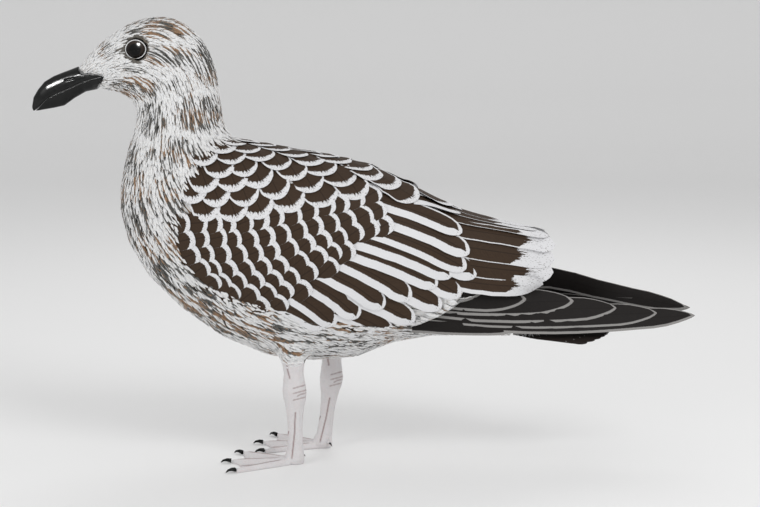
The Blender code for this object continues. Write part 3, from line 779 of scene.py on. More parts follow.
def turned_ways(turn):
    """Ways across the body at these angles from the top, to the left."""
    return np.stack([0 * turn, -np.sin(turn), np.cos(turn)], axis=1)


def feather_shares(stations):
    return 1 - (1 - np.linspace(0, 1, stations)) ** 1.7


def vane_outline(shares, blunt, root=0.5, square=2.0):
    """Half widths of a vane as shares of its widest. blunt is how long its round tip is."""
    tip = np.clip((shares - (1 - blunt)) / blunt, 0, 1)
    rounded = np.maximum((1 - tip ** square) ** (1 / square), 0.05)
    return rounded * (root + (1 - root) * ramp(shares, 0, 0.35))


def evened(lines):
    """Each inner place of the lines as the sum of itself and its neighbours."""
    return lines[:, :-2] + lines[:, 1:-1] + lines[:, 2:]


def lay(roots, tips, shares, bow, low, high):
    """Middle lines over the plumage from roots to tips. bow is how far their middles lie to the
    left of the straight way, and low and high are the heights of root and tip in mm."""
    surface = SURFACES["outer"]
    line = roots[:, None] + (tips - roots)[:, None] * shares[None, :, None]
    _, root_normals = surface.nearest(roots)
    side = unit(np.cross(root_normals, tips - roots))
    line = line + side[:, None] * (bow * MM * 4 * shares * (1 - shares))[None, :, None]
    spots, normals = (v.reshape(line.shape) for v in surface.nearest(line.reshape(-1, 3)))
    for _ in range(2):
        normals[:, 1:-1] = unit(evened(normals))
    return spots + normals * ((low + (high - low) * shares) * MM)[None, :, None], normals


def large_feathers(name, side, centre, normal, half, edges, seed, material="brown_vane",
                   replaced=(), wear=0.03, thick=0.5, camber=0.05, tilt=0.0):
    """One piece of large feathers. edges are the pale edge's widths in mm on the upper and the
    lower side and at the tip, and how ragged the tip is. wear is the outline's own raggedness."""
    count = len(centre)
    ragged = np.random.default_rng(seed).uniform(-1, 1, centre.shape[:2])
    half = half * (1 + wear * ragged)
    widths = np.stack([np.broadcast_to(width, count) for width in edges[:3]], axis=1) / 10
    widths = widths * np.random.default_rng(seed + 1).uniform(0.8, 1.2, widths.shape)
    look = np.column_stack([widths, np.full(count, edges[3])])
    mesh = build_vanes(name, centre, normal, half, look, LARGE_RING, thick, camber, tilt)
    if side == "right":
        bm = bmesh.new()
        bm.from_mesh(mesh)
        bmesh.ops.scale(bm, verts=bm.verts, vec=(1, -1, 1))
        bmesh.ops.reverse_faces(bm, faces=bm.faces)
        bm.to_mesh(mesh)
        bm.free()
    finish_piece(new_object(f"{name}_{side}" if side else name, mesh, material), replaced)


# ---------------------------------------------------------------- the skin

def socket(points):
    """Draws the skin back behind the eyeballs."""
    centre = np.array(bpy.context.scene.gull_head.eye_centre) / MM
    x, y, z = (points / MM).T
    away = np.hypot(x - centre[0], z - centre[2])
    share = ramp(away, 12.6, 9.6)
    drawn = y * (1 - share) + np.where(y < 0, -1, 1) * (centre[1] - 3) * share
    moved = points.copy()
    moved[:, 1] = np.where((away < 13.5) & (np.abs(y) > 10), drawn, y) * MM
    return moved


def near_line(x, z, line, width):
    """1 on a line of places, falling to 0 at this distance from it."""
    away = np.full(len(x), 1e3)
    for (x0, z0), (x1, z1) in zip(line, line[1:]):
        dx, dz = x1 - x0, z1 - z0
        share = np.clip(((x - x0) * dx + (z - z0) * dz) / (dx * dx + dz * dz), 0, 1)
        away = np.minimum(away, np.hypot(x - x0 - dx * share, z - z0 - dz * share))
    return ramp(away, width, width * 0.35)


# Folds of the bare leg's sides: x from the leg's own middle line, and z.
LEG_FOLDS = [[(-5, 106), (-4.6, 96), (-3, 88)], [(0.6, 53), (-0.4, 32), (-3.2, 7)],
             [(-6.5, 33), (-8.4, 26), (-10.5, 18)]]
ANKLE_FOLDS = (79.5, 74.4, 71.6, 67.6)  # heights
FOOT_LINES = (-31.0, -16.0, 0.0, 16.0, 31.0)  # degrees from the foot's middle
FOOT_MIDDLE = 33.0  # from the bird's middle
# By the side: x of the leg's middle line at heel, ankle and hip, and how far the foot turns out.
LEG_LINES = {-1: (-67.8, -68.0, -70.5, 0.0), 1: (-42.0, -33.5, -32.5, 9.0)}
LEG_CUT = 0.118  # height where the leg's own skin ends, inside the thigh
BARE_BELOW = 0.103  # height under which the skin is bare


def leg_folds(points, normals):
    """How deep each point lies in one of the legs' folds, from 0 to 1."""
    x, y, z = (points / MM).T
    folds = np.zeros(len(x))
    for side, (heel, ankle, hip, turn) in LEG_LINES.items():
        own = (y * side > 0) & (z < 108)
        dx = x - np.interp(z, [8, 70, 102], [heel, ankle, hip])
        flank = ramp(np.abs(normals[:, 1]), 0.2, 0.6) * own * ramp(z, 4, 9)
        found = [flank * near_line(dx, z, line, 1.1) for line in LEG_FOLDS]
        for height in ANKLE_FOLDS:
            start = 1.5 + 2.5 * math.sin(height)
            line = [(start, height - 1.4), (6, height + 0.2), (12, height + 0.9)]
            found.append(0.8 * own * (normals[:, 0] > -0.5) * near_line(dx, z, line, 0.9))
        out = y * side - FOOT_MIDDLE
        for angle in FOOT_LINES:
            bend = math.radians(angle + turn)
            ahead = (heel - x) * math.cos(bend) + out * math.sin(bend)
            away = np.abs((heel - x) * math.sin(bend) - out * math.cos(bend))
            reach = ramp(ahead, 14, 20) * ramp(ahead, 60, 52)
            found.append(ramp(away, 1.5, 0.6) * reach * (normals[:, 2] > 0.1) * (z < 14) * own)
        folds = np.maximum.reduce([folds, *found])
    return folds


def leg_form(bm):
    """Scales, folds and tendons on the bare legs, whose upper ends draw in under the thighs."""
    bm.normal_update()
    points, normals = places(bm)
    x, y, z = (points / MM).T
    front = ramp(normals[:, 0], -0.2, -0.7)
    shin = ramp(z, 16, 22) * ramp(z, 100, 92)
    height = 0.22 * front * shin * (np.abs(np.sin(z * math.pi / 3.6)) ** 0.5 - 0.7)
    back = ramp(normals[:, 0], 0.2, 0.7)
    ankle = ramp(np.abs(z - 76), 16, 8)
    height += 0.3 * back * ankle * (np.abs(np.sin(z * math.pi / 2.7 + 0.6 * np.sin(y))) - 0.6)
    height += 0.1 * ramp(np.abs(normals[:, 1]), 0.5, 0.9) * shin * wander(points, 3.2, 12)
    top = ramp(normals[:, 2], 0.3, 0.8) * ramp(z, 13, 10)
    height += 0.16 * top * (np.abs(np.sin(x * math.pi / 2.6)) ** 0.5 - 0.7) * ramp(z, 4.0, 5.5)
    height += 0.12 * top * wander(points, 4.0, 14) * ramp(z, 5.5, 3.5)
    height -= 0.35 * leg_folds(points, normals)
    points = points + normals * height[:, None] * MM
    inward = 4.0 * ramp(points[:, 2] / MM, 102, 110)
    set_places(bm, points - normals * inward[:, None] * MM)


def bake_places(along, angle):
    """Places on the bake map of all but the legs: lengthwise across it, round the body up it."""
    return np.stack([0.02 + 0.78 * along / LIE.length[-1], 0.03 + 0.9 * (angle / math.tau + 0.5)],
                    axis=1)


def add_skin_maps(mesh, points):
    """The skin's maps, from its own lengthwise and round-about measure."""
    _, along, angle = LIE.read(points)
    loops = read_array(mesh.loops, "vertex_index", kind=int)
    starts = read_array(mesh.polygons, "loop_start", kind=int)
    owner = np.repeat(np.arange(len(starts)), read_array(mesh.polygons, "loop_total", kind=int))
    turn = angle[loops]
    # A face that crosses the seam on the belly has all its corners on one side of it.
    top = np.maximum.reduceat(turn, starts)[owner]
    crossing = (top - np.minimum.reduceat(turn, starts)[owner] > math.pi) & (turn < 0)
    turn = np.where(crossing, turn + math.tau, turn)
    lie = np.stack([along[loops] / MM, turn * MEAN_RADIUS], axis=1)
    place = points[loops] / MM
    leg = np.stack([0.83 + 0.15 * (place[:, 0] + 140) / 160,
                    0.03 + 0.45 * place[:, 2] / 100 + 0.48 * (place[:, 1] > 0)], axis=1)
    add_map(mesh, "Lie", lie)
    add_map(mesh, "OFBake", np.where(place[:, 2:] < 100, leg, bake_places(along[loops], turn)))
    add_map(mesh, "Vane", lie)


class GULL_OT_skin(bpy.types.Operator):
    """One skin from the face to the toes, inside the solids of flesh"""
    bl_idname = "gull.skin"
    bl_label = "Skin"

    def execute(self, context):
        flesh = make_surfaces()
        set_places(flesh, socket(places(flesh)[0]))
        skin = new_object("skin", smooth_mesh(flesh, "skin"), "body_feather")
        skin.data.materials.append(get_material("bare_leg_skin"))
        for side in SIDES:
            self.join(skin, add_object("leg", self.leg(side, context.scene.gull_legs.detail)))
        mesh = skin.data
        mesh.name = "skin"
        points = read_array(mesh.vertices, "co", 3)
        add_skin_maps(mesh, points)
        for polygon in mesh.polygons:
            polygon.material_index = int(polygon.center.z < BARE_BELOW)
        mesh.shade_smooth()
        add_values(mesh, "look", markings(points))
        # The folds' depth. The leg material also paints it darker, as painted shade.
        add_values(mesh, "fold", leg_folds(points, read_array(mesh.vertices, "normal", 3)))
        both = [f"{kind}_{side}" for kind in ("wing", "thigh", "shank", "tarsus", "foot")
                for side in SIDES]
        finish_piece(skin, ["head", "neck", "trunk", *both])
        return {"FINISHED"}

    def leg(self, side, detail):
        """The skin of one leg, closed at its upper end inside the thigh."""
        solid = merged_copy([f"{kind}_{side}" for kind in ("thigh", "shank", "tarsus", "foot")])
        cut = bmesh.ops.bisect_plane(solid, geom=solid.verts[:] + solid.edges[:] + solid.faces[:],
                                     plane_co=(0, 0, LEG_CUT), plane_no=(0, 0, 1),
                                     clear_outer=True)
        edges = [e for e in cut["geom_cut"] if isinstance(e, bmesh.types.BMEdge)]
        bmesh.ops.holes_fill(solid, edges=edges)
        leg = smoothed(remeshed(solid, detail), 2)
        leg_form(leg)
        return smooth_mesh(leg, "leg")

    def join(self, skin, leg):
        union = skin.modifiers.new("leg", "BOOLEAN")
        union.operation, union.solver, union.object = "UNION", "MANIFOLD", leg
        joined = evaluated_mesh(skin)
        skin.modifiers.clear()
        old, skin.data = skin.data, joined
        bpy.data.meshes.remove(old)
        discard(leg)


# ---------------------------------------------------------------- the coat of small feathers

COAT_PARTS = ["face", "crown", "neck", "breast", "belly", "rump", "thighs"]
COAT_STATIONS = np.array([0.0, 0.36, 0.74, 1.0])
COAT_OUTLINE = np.array([0.5, 1.0, 0.8, 0.14])
SPREAD_CELL = 3.2 * MM  # no wider than this may the feathers stand apart
NEIGHBOURS = list(itertools.product((-1, 0, 1), repeat=3))
TRY_SIDE, TRIES = 1.6 * MM, 2.6  # so many places are tried in each square of this side
THIGHS_BELOW = 0.112  # height under which the coat belongs to the thighs


def spread(surface, spacing, keep, seed):
    """Random places on the surface, each at least its own spacing in mm from the others."""
    rng = np.random.default_rng(seed)
    fans = np.array([(f[0], f[i], f[i + 1]) for f in surface.faces for i in range(1, len(f) - 1)])
    a, b, c = (surface.points[fans[:, i]] for i in range(3))
    areas = np.linalg.norm(np.cross(b - a, c - a), axis=1) / 2
    wanted = int(areas.sum() / TRY_SIDE ** 2 * TRIES)
    pick = rng.choice(len(fans), wanted, p=areas / areas.sum())
    u, v = rng.uniform(size=(2, wanted))
    u, v = np.where(u + v > 1, 1 - u, u), np.where(u + v > 1, 1 - v, v)
    points = a[pick] + (b[pick] - a[pick]) * u[:, None] + (c[pick] - a[pick]) * v[:, None]
    points = points[keep(points)]
    homes = np.floor(points / SPREAD_CELL).astype(int).tolist()
    cells, chosen = {}, []
    for index, (point, gap, (x, y, z)) in enumerate(zip(points, spacing(points) * MM, homes)):
        near = [other for dx, dy, dz in NEIGHBOURS
                for other in cells.get((x + dx, y + dy, z + dz), ())]
        if not near or ((points[near] - point) ** 2).sum(axis=1).min() >= gap * gap:
            cells.setdefault((x, y, z), []).append(index)
            chosen.append(index)
    return points[chosen]


def coat_spacing(points):
    """The distance in mm between neighbouring feathers: close on the face, wide on the body."""
    plumage = bpy.context.scene.gull_plumage
    face, body = plumage.face_spacing / MM, plumage.body_spacing / MM
    _, along, _ = LIE.read(points)
    spacing = LIE.between(along, {"bill root": face * 0.9, "lores": face, "crown": face * 1.15,
                                  "neck": body * 0.95, "breast": body * 0.9, "belly": body})
    return np.where(points[:, 2] < 0.125, face * 1.2, spacing)


def coat_keep(points):
    """True where small feathers grow: not on the wings, the eyes or the bare legs."""
    x, _, z = (points / MM).T
    eye_x, _, eye_z = np.array(bpy.context.scene.gull_head.eye_centre) / MM
    eye = np.hypot(x - eye_x, z - eye_z) < 11.0
    under_wing = (x > 84) & (z > 165)
    return ~on_wing(points + [0.011, 0, 0]) & ~eye & ~under_wing & (z > 101.5)


class GULL_OT_coat(bpy.types.Operator):
    """Small feathers over the head, neck and body, along the lie of the plumage"""
    bl_idname = "gull.coat"
    bl_label = "Body feathers"

    def execute(self, context):
        roots = spread(SURFACES["outer"], coat_spacing, coat_keep, 21)
        _, along, _ = LIE.read(roots)
        ends = [LIE.at[name] for name in ("crown", "neck", "breast", "belly", "rump")]
        part = np.where(roots[:, 2] < THIGHS_BELOW, COAT_PARTS.index("thighs"), np.digitize(along, ends))
        rng = np.random.default_rng(5)
        for index, name in enumerate(COAT_PARTS):
            self.grow(f"coat_{name}", roots[part == index], rng)
        return {"FINISHED"}

    def grow(self, name, roots, rng):
        plumage = bpy.context.scene.gull_plumage
        surface = SURFACES["outer"]
        spacing = coat_spacing(roots)
        length = spacing * plumage.length_ratio * rng.uniform(0.8, 1.25, len(roots))
        turn = rng.normal(0, 0.13, len(roots))
        # The root lies on the skin, and the vane rises to the plumage's surface.
        depth = coat_depth(roots) + 0.4
        lifts = np.stack([-depth, -0.24 * depth, -0.05 * depth, 0 * depth], axis=1)
        lifts = lifts + rng.uniform(-0.08, 0.04, (len(roots), 1)) * spacing[:, None]
        lifts[:, 3] += 0.03 * spacing
        back, _ = surface.nearest(roots)
        centre, normal = trace(surface, back, length, COAT_STATIONS, lifts, turn)
        half = spacing[:, None] * plumage.width_ratio / 2 * COAT_OUTLINE[None]
        half = half * rng.uniform(0.7, 1.2, (len(roots), 1))
        _, along, angle = LIE.read(roots)
        look = markings(centre[:, 1:3].mean(axis=1))
        mesh = build_vanes(name, centre, normal, half, look, SMALL_RING, 0.12, 0.2,
                           bake=bake_places(along, angle))
        finish_piece(new_object(name, mesh, "body_feather"))


# ---------------------------------------------------------------- wings and tail

class GULL_OT_wings(bpy.types.Operator):
    """The folded wings' coverts, secondaries, tertials and primaries"""
    bl_idname = "gull.wings"
    bl_label = "Wings"

    def execute(self, context):
        for side in SIDES:
            self.coverts(side)
            self.greater(side)
            self.scapulars(side)
            self.tertials(side)
            self.primaries(side)
        return {"FINISHED"}

    def coverts(self, side):
        """Rows of small feathers, each across its row's line, whose white tips make the line."""
        rng = np.random.default_rng(30)
        ends = []
        for row in COVERT_ROWS:
            line = curve_through(row, 60)
            gone = np.append(0, np.cumsum(np.linalg.norm(np.diff(line, axis=0), axis=1)))
            for where in np.arange(2.5, gone[-1] + 0.6 * COVERT_ACROSS, COVERT_ACROSS):
                where = where + rng.uniform(-1.2, 1.2)
                place = int(np.interp(where, gone, np.arange(60)))
                slope = unit(line[min(place + 9, 59)] - line[max(place - 9, 0)])
                tip = line[place] + slope * (where - np.clip(where, 0, gone[-1]))
                way = unit(np.array([-slope[2], 0, slope[0]]) + slope * rng.normal(0, 0.06))
                ends.append((tip - way * 26, tip + way * (4 + rng.uniform(-0.7, 0.7))))
        roots, tips = (on_side(np.array([pair[i] for pair in ends])[:, [0, 2]])[0] for i in (0, 1))
        shares = feather_shares(11)
        centre, normal = lay(roots, tips, shares, 0, -2.2, 0.3)
        half = vane_outline(shares, 0.26, square=2.3) * 9.6
        large_feathers("wing_coverts", side, centre, normal, half, (0.0, 0.0, 4.6, 0.08), 31,
                       tilt=-0.03)

    def greater(self, side):
        """The secondaries, and over them the greater coverts."""
        shares = feather_shares(14)
        turn = np.radians([degrees for _, degrees in RIDGE_COVERT])
        within = np.array([(x, 0, WITHIN) for x, _ in RIDGE_COVERT]) * MM
        ridge = SURFACES["outer"].outside(within, turned_ways(turn))[0]
        for name, table, extra, width, low, high in (
                ("secondaries", SECONDARIES, ridge[:0], 12.0, -2.6, -1.2),
                ("greater_coverts", GREATER_COVERTS, ridge, 11.5, -2.2, -0.2)):
            roots, tips = (np.vstack([extra[i:i + 1], on_side([pair[i] for pair in table])[0]])
                           for i in (0, 1))
            centre, normal = lay(roots, tips, shares, 5, low, high)
            half = vane_outline(shares, 0.22, 0.8) * width
            large_feathers(name, side, centre, normal, half, (1.6, 7.0, 4.0, 0.06), 33, tilt=-0.1)

    def scapulars(self, side):
        """Rows of round feathers from the wing's upper edge to the ridge of the back."""
        surface = SURFACES["outer"]
        rng = np.random.default_rng(41)
        edge_x, edge_z = np.array(SCAPULAR_EDGE, float).T
        found = []
        for row in range(-1, 9):
            # Each feather's place in its row: the gaps grow from about 25 mm in front to 36.
            step = np.arange(0.5 * (row % 2), 11)
            x = -172 + 24 * step + 0.75 * step ** 2
            x = x[(x < 104) & (x > (24 if row < 0 else -180))]
            x = x + rng.uniform(-3, 3, len(x))
            spots, normals = on_side(list(zip(x, np.interp(x, edge_x, edge_z))))
            pitch = np.interp(x, [-170, 40], [13.0, 19.0])
            spots, normals = self.walk_up(surface, spots, normals, pitch * row)
            found.append((spots, normals, np.interp(x, [-170, 0], [13.5, 18.5])))
        tips, normals, sizes = (np.concatenate(values) for values in zip(*found))
        front = np.interp(tips[:, 2] / MM, [250, 262, 277, 296, 314, 322],
                          [-178, -172, -171, -162, -148, -120])
        keep = (tips[:, 1] < -0.002) & (tips[:, 0] / MM > front + 3)
        if side == "right":
            # Behind, the left side's feathers lie over the ridge.
            keep &= (tips[:, 0] < 0.060) | (tips[:, 1] < -0.024)
        tips, normals = tips[keep], normals[keep]
        sizes = sizes[keep] * rng.uniform(0.93, 1.07, keep.sum())
        tip_x = tips[:, 0] / MM
        back = np.interp(tip_x, [-120, 10, 80], [0.4, 0.6, 2.4])
        way = unit(back[:, None] * [1.0, 0, 0] - unit(np.cross(normals, [1.0, 0, 0])))
        reach = np.interp(tip_x, [-170, -110, 30, 90], [30.0, 46.0, 48.0, 62.0])[:, None] * MM
        shares = feather_shares(12)
        from_tip = 1 - shares[::-1]
        steps = [tips]
        for before, share in zip(from_tip, from_tip[1:]):
            here, normal = surface.nearest(steps[-1] - way * (reach * (share - before)))
            way = unit(way - normal * (way * normal).sum(axis=1, keepdims=True))
            steps.append(here)
        centre = np.stack(steps[::-1], axis=1)
        normal = surface.nearest(centre.reshape(-1, 3))[1].reshape(centre.shape)
        lift = (-4.4 + 5.2 * shares ** 0.8)[None] + 1.4 * ramp(tip_x, 60, 80)[:, None]
        centre = centre + normal * lift[..., None] * MM
        half = vane_outline(shares, 0.4)[None] * sizes[:, None]
        large_feathers("scapulars", side, centre, normal, half, (1.7, 1.9, 6.0, 0.3), 43)

    def walk_up(self, surface, spots, normals, distances, steps=14):
        """Moves places up over the back, each in its own plane across the body."""
        for _ in range(steps):
            up = unit(np.cross(normals, [1.0, 0, 0]))
            spots, normals = surface.nearest(spots + up * (distances / steps * MM)[:, None])
        return spots, normals

    def tertials(self, side):
        """Long feathers from under the coverts to the wing's end, the upper over the lower."""
        shares = feather_shares(16)
        tips, first, last = (np.array(values, float)[:, None] for values in zip(*TERTIALS))
        x = TERTIAL_ROOT + (tips - TERTIAL_ROOT) * shares
        turn = np.radians(first + (last - first) * shares).ravel()
        middle = np.interp(x, [TERTIAL_ROOT, 190], [WITHIN, 200.0])
        points = np.stack([np.minimum(x, SHELL_END), 0 * x, middle], axis=2).reshape(-1, 3) * MM
        found = SURFACES["outer"].outside(points, turned_ways(turn))
        spots, normals = (values.reshape(*x.shape, 3) for values in found)
        # Past the solid's end each feather goes straight on.
        for line, normal, own_x in zip(spots, normals, x * MM):
            beyond = own_x > SHELL_END * MM
            if beyond.any():
                inner = np.flatnonzero(~beyond)
                a, b = line[inner[-3]], line[inner[-1]]
                line[beyond] = b + (b - a) / (b[0] - a[0]) * (own_x[beyond] - b[0])[:, None]
                normal[beyond] = normal[inner[-1]]
        for _ in range(5):
            spots[:, 1:-1] = evened(spots) / 3
            normals[:, 1:-1] = unit(evened(normals))
        centre = spots + normals * ((-3.2 + 3.2 * shares)[None, :, None] * MM)
        half = vane_outline(shares, 0.14, square=2.6) * 11.0
        lower = [1.0] * (len(TERTIALS) - 1) + [5.0]
        large_feathers("tertial_feathers", side, centre, normals, half, (0.8, lower, 19.0, 0.7),
                       51, replaced=[f"tertials_{side}"], tilt=-0.06)

    def primaries(self, side):
        """The hand's feathers lie in a leaning stack. The right hand lies on the left one, so its
        stack rises over the tail, and its tips are a little shorter."""
        shares = feather_shares(16)
        rows = PRIMARIES if side == "right" else PRIMARIES[:-1]
        line = np.stack([curve_through(row, 60) for row in rows])
        line = line[:, np.round(shares * 59).astype(int)]
        x = line[:, :1, 0] + (line[:, -1:, 0] - line[:, :1, 0]) * shares[None]
        z = line[..., 2]
        y = self.depth(x, z)
        slope_x = self.depth(x + 4, z) - self.depth(x - 4, z)
        slope_z = self.depth(x, z + 4) - self.depth(x, z - 4)
        normal = unit(np.stack([slope_x / 8, -np.ones_like(x), slope_z / 8], axis=2))
        order = np.array(PRIMARY_ORDER)[:len(rows)] * -0.6 - 0.1
        line = np.stack([x, y, z], axis=2) + normal * order[:, None, None]
        line[..., 2] += 3.0
        if side == "right":
            line[..., 2] += np.interp(x, [130, 195, 235, 333], [0.0, 11.5, 8.5, 6.0])
            line[..., 0] -= np.interp(x, [235, 333], [0.0, 3.0])
        narrow = np.interp(x, [96, 200, 290, 332], [13.5, 13.0, 11.0, 8.0])
        blunt = 38.0 / (line[:, -1:, 0] - line[:, :1, 0])
        half = vane_outline(shares[None], blunt, 0.9, square=1.6) * narrow
        large_feathers("primary_feathers", side, line * MM, normal, half, (0.9, 2.4, 2.8, 0.008),
                       61, "black_vane", [f"primaries_{side}"], 0.01,
                       tilt=-0.02)

    def depth(self, x, z):
        """y of the stacked primaries."""
        full = [row for row in HAND if len(row) > 3]
        high, low = (np.interp(x, [row[0] for row in full], [row[i] for row in full])
                     for i in (3, 4))
        upper, lower = (np.interp(x, [row[0] for row in HAND], [row[i] for row in HAND])
                        for i in (1, 2))
        return lower + (upper - lower) * (z - low) / (high - low)


class GULL_OT_tail(bpy.types.Operator):
    """Twelve tail feathers, fanned over one another"""
    bl_idname = "gull.tail"
    bl_label = "Tail"

    def execute(self, context):
        shares = feather_shares(15)
        place = np.linspace(-1, 1, 12)[:, None]
        x = 150 + (97.0 - 24 * place ** 2) * shares
        y = place * (13 + 16 * shares)
        sag = 4.0 * (place * (0.6 + 0.4 * shares)) ** 2
        z = 131.7 - 3.5 * shares - sag - 1.3 * np.abs(place)
        lean = np.sin(place * 0.12) + 0 * x
        normal = unit(np.stack([0 * x, lean, np.ones_like(x)], axis=2))
        half = vane_outline(shares, 0.12, 0.6) * 10.0
        large_feathers("tail_feathers", "", np.stack([x, y, z], axis=2) * MM, normal, half,
                       (1.0, 1.0, 2.5, 0.05), 71, "tail_vane", replaced=["tail"], wear=0.01,
                       thick=0.7, camber=0.06, tilt=np.where(place < 0, 0.05, -0.05))
        return {"FINISHED"}


# ---------------------------------------------------------------- bill, eyes, claws

# x and z of the nostril's middle, half its length, and how far it climbs.
NOSTRIL = (-288.3, 380.6, 4.2, 0.9)


class GULL_OT_bill(bpy.types.Operator):
    """Both halves of the bill, with nostrils"""
    bl_idname = "gull.bill"
    bl_label = "Bill"

    def execute(self, context):
        head = context.scene.gull_head
        middle_x, middle_z, reach, climb = NOSTRIL
        for name in ("bill_upper", "bill_lower"):
            bm = smoothed(remeshed(merged_copy([name]), head.bill_detail / MM), 4)
            bm.normal_update()
            points, normals = places(bm)
            if name == "bill_upper":
                x, y, z = (points / MM).T
                along = np.clip((x - middle_x) / reach, -1, 1)
                away = np.hypot(x - middle_x - reach * along, z - middle_z - climb * along)
                depth = 1.5 * ramp(away, 1.5, 0.3) * (np.abs(y) > 4)
                set_places(bm, points - normals * depth[:, None] * MM)
            horn = new_object(name + "_horn", smooth_mesh(bm, name), "black_horn")
            finish_piece(horn, [name])
        return {"FINISHED"}


class GULL_OT_eyes(bpy.types.Operator):
    """Eyeballs, and the pale lids round them"""
    bl_idname = "gull.eyes"
    bl_label = "Eyes and lids"

    def execute(self, context):
        head = context.scene.gull_head
        for side, sign in SIDES.items():
            centre = Vector(head.eye_centre) * Vector((1, sign, 1))
            bm = bmesh.new()
            bmesh.ops.create_uvsphere(bm, u_segments=64, v_segments=40, radius=head.eye_radius)
            bmesh.ops.rotate(bm, verts=bm.verts, matrix=Matrix.Rotation(math.pi / 2, 3, "X"))
            bmesh.ops.translate(bm, verts=bm.verts, vec=centre)
            eye = new_object(f"eyeball_{side}", smooth_mesh(bm, "eyeball"), "wet_eye")
            finish_piece(eye, [f"eye_{side}"])
            lids = new_object(f"eyelids_{side}", self.lids(sign, centre, head), "lid_skin")
            finish_piece(lids)
        return {"FINISHED"}

    def lids(self, sign, centre, head):
        """A soft ring on the eyeball, drawn out at its two corners."""
        bm = bmesh.new()
        ring = 3.0
        bmesh.ops.create_circle(bm, segments=10, radius=1.0)
        bmesh.ops.rotate(bm, verts=bm.verts, matrix=Matrix.Rotation(math.pi / 2, 3, "Z"))
        bmesh.ops.translate(bm, verts=bm.verts, vec=(ring, 0, 0))
        bmesh.ops.spin(bm, geom=bm.verts[:] + bm.edges[:], cent=(0, 0, 0), axis=(0, 1, 0),
                       angle=math.tau, steps=72, use_merge=True)
        for vertex in bm.verts:
            turn = math.atan2(vertex.co.z, vertex.co.x)
            outwards = math.hypot(vertex.co.x, vertex.co.z) - ring
            reach = head.lid_radius * (1 + 0.07 * abs(math.cos(turn)) ** 3)
            height = math.sqrt(head.eye_radius ** 2 - reach ** 2)
            out = Vector((math.cos(turn), 0, math.sin(turn) * 0.97))
            rise = sign * (height + vertex.co.y * 0.7 * MM)
            vertex.co = centre + out * (reach + outwards * 0.65 * MM) + Vector((0, rise, 0))
        bm.normal_update()
        bmesh.ops.recalc_face_normals(bm, faces=bm.faces)
        return smooth_mesh(bm, "lids")


class GULL_OT_claws(bpy.types.Operator):
    """Smooth curved claws on all the toes"""
    bl_idname = "gull.claws"
    bl_label = "Claws"

    def execute(self, context):
        for side in SIDES:
            names = [f"claw_{toe}_{side}" for toe in ("hind", "inner", "middle", "outer")]
            bm = smoothed(remeshed(merged_copy(names), CLAW_VOXEL), 3)
            claws = new_object(f"claws_{side}", smooth_mesh(bm, "claws"), "black_horn")
            finish_piece(claws, names)
        return {"FINISHED"}


# ---------------------------------------------------------------- the stage

# The backdrop rises behind the floor: height, and how far behind its edge, in metres.
BACKDROP = ((0.05, 0.35), (0.2, 0.65), (0.5, 0.9), (1.0, 1.05), (4.0, 1.1))
FLOOR_HALF = (6, 3)  # half its width and depth in metres
# Each lamp's name, place and size in metres.
LAMPS = (("key", (0.9, -1.3, 1.5), 0.9), ("fill", (-1.3, -1.2, 0.35), 1.2),
         ("rim", (0.2, 1.2, 1.6), 1.0), ("eye_light", (0.23, -0.42, 1.2), 0.55),
         ("bill_light", (-0.82, -0.79, 0.7), 0.1))
LIT_ALONE = {"eye_light": "eyeball", "bill_light": "bill_"}  # the start of the names it lights
DULL = ("fill", "rim")  # lamps that show in no reflection
AIM = Vector((-0.05, 0, 0.25))  # where all lamps point


class GULL_OT_stage(bpy.types.Operator):
    """Floor, backdrop, lights and camera"""
    bl_idname = "gull.stage"
    bl_label = "Stage"

    def execute(self, context):
        stage = context.scene.gull_stage
        new_object("floor", self.floor(), "studio_paint")
        for name, place, size in LAMPS:
            light = bpy.data.lights.new(name, "AREA")
            light.shape, light.size = "DISK", size
            light.energy = getattr(stage, name.replace("_light", "") + "_power")
            lamp = add_object(name, light)
            lamp.location = place
            lamp.rotation_euler = (AIM - Vector(place)).to_track_quat("-Z", "Y").to_euler()
            lamp.visible_glossy = name not in DULL
            if name in LIT_ALONE:
                lamp.light_linking.receiver_collection = self.group(name, LIT_ALONE[name])
        world = bpy.data.worlds.new("studio")
        world.use_nodes = True
        connect(world.node_tree.nodes["Background"], "#FFFFFF", stage.ambient)
        context.scene.world = world
        camera = add_object("camera", bpy.data.cameras.new("camera"))
        camera.data.lens, camera.data.sensor_width = stage.lens, 36.0
        camera.location = stage.camera_place
        camera.rotation_euler = (math.radians(90 - stage.camera_pitch), 0, 0)
        context.scene.camera = camera
        context.scene.view_settings.view_transform = "Standard"
        return {"FINISHED"}

    def floor(self):
        """A level floor whose rear edge is drawn up into the backdrop."""
        bm = bmesh.new()
        bmesh.ops.create_grid(bm, x_segments=1, y_segments=1, size=1.0)
        bmesh.ops.scale(bm, verts=bm.verts, vec=(*FLOOR_HALF, 1))
        rear = [edge for edge in bm.edges if all(v.co.y > 0 for v in edge.verts)]
        for height, back in BACKDROP:
            made = bmesh.ops.extrude_edge_only(bm, edges=rear)["geom"]
            for vertex in made:
                if isinstance(vertex, bmesh.types.BMVert):
                    vertex.co.y, vertex.co.z = FLOOR_HALF[1] + back, height
            rear = [edge for edge in made if isinstance(edge, bmesh.types.BMEdge)]
        return smooth_mesh(bm, "floor")

    def group(self, name, start):
        """The pieces whose names start so, as the only ones that a lamp lights."""
        group = bpy.data.collections.new(name)
        for obj in bpy.data.objects:
            if obj.name.startswith(start) and obj.type == "MESH":
                group.objects.link(obj)
        return group


# ---------------------------------------------------------------- settings, panel, main

def number(name, description, default, **kind):
    return FloatProperty(name=name, description=description, default=default, **kind)


def length(name, description, default):
    return number(name, description, default, unit="LENGTH", subtype="DISTANCE")


def power(name, description, default):
    return number(name, description, default, unit="POWER")


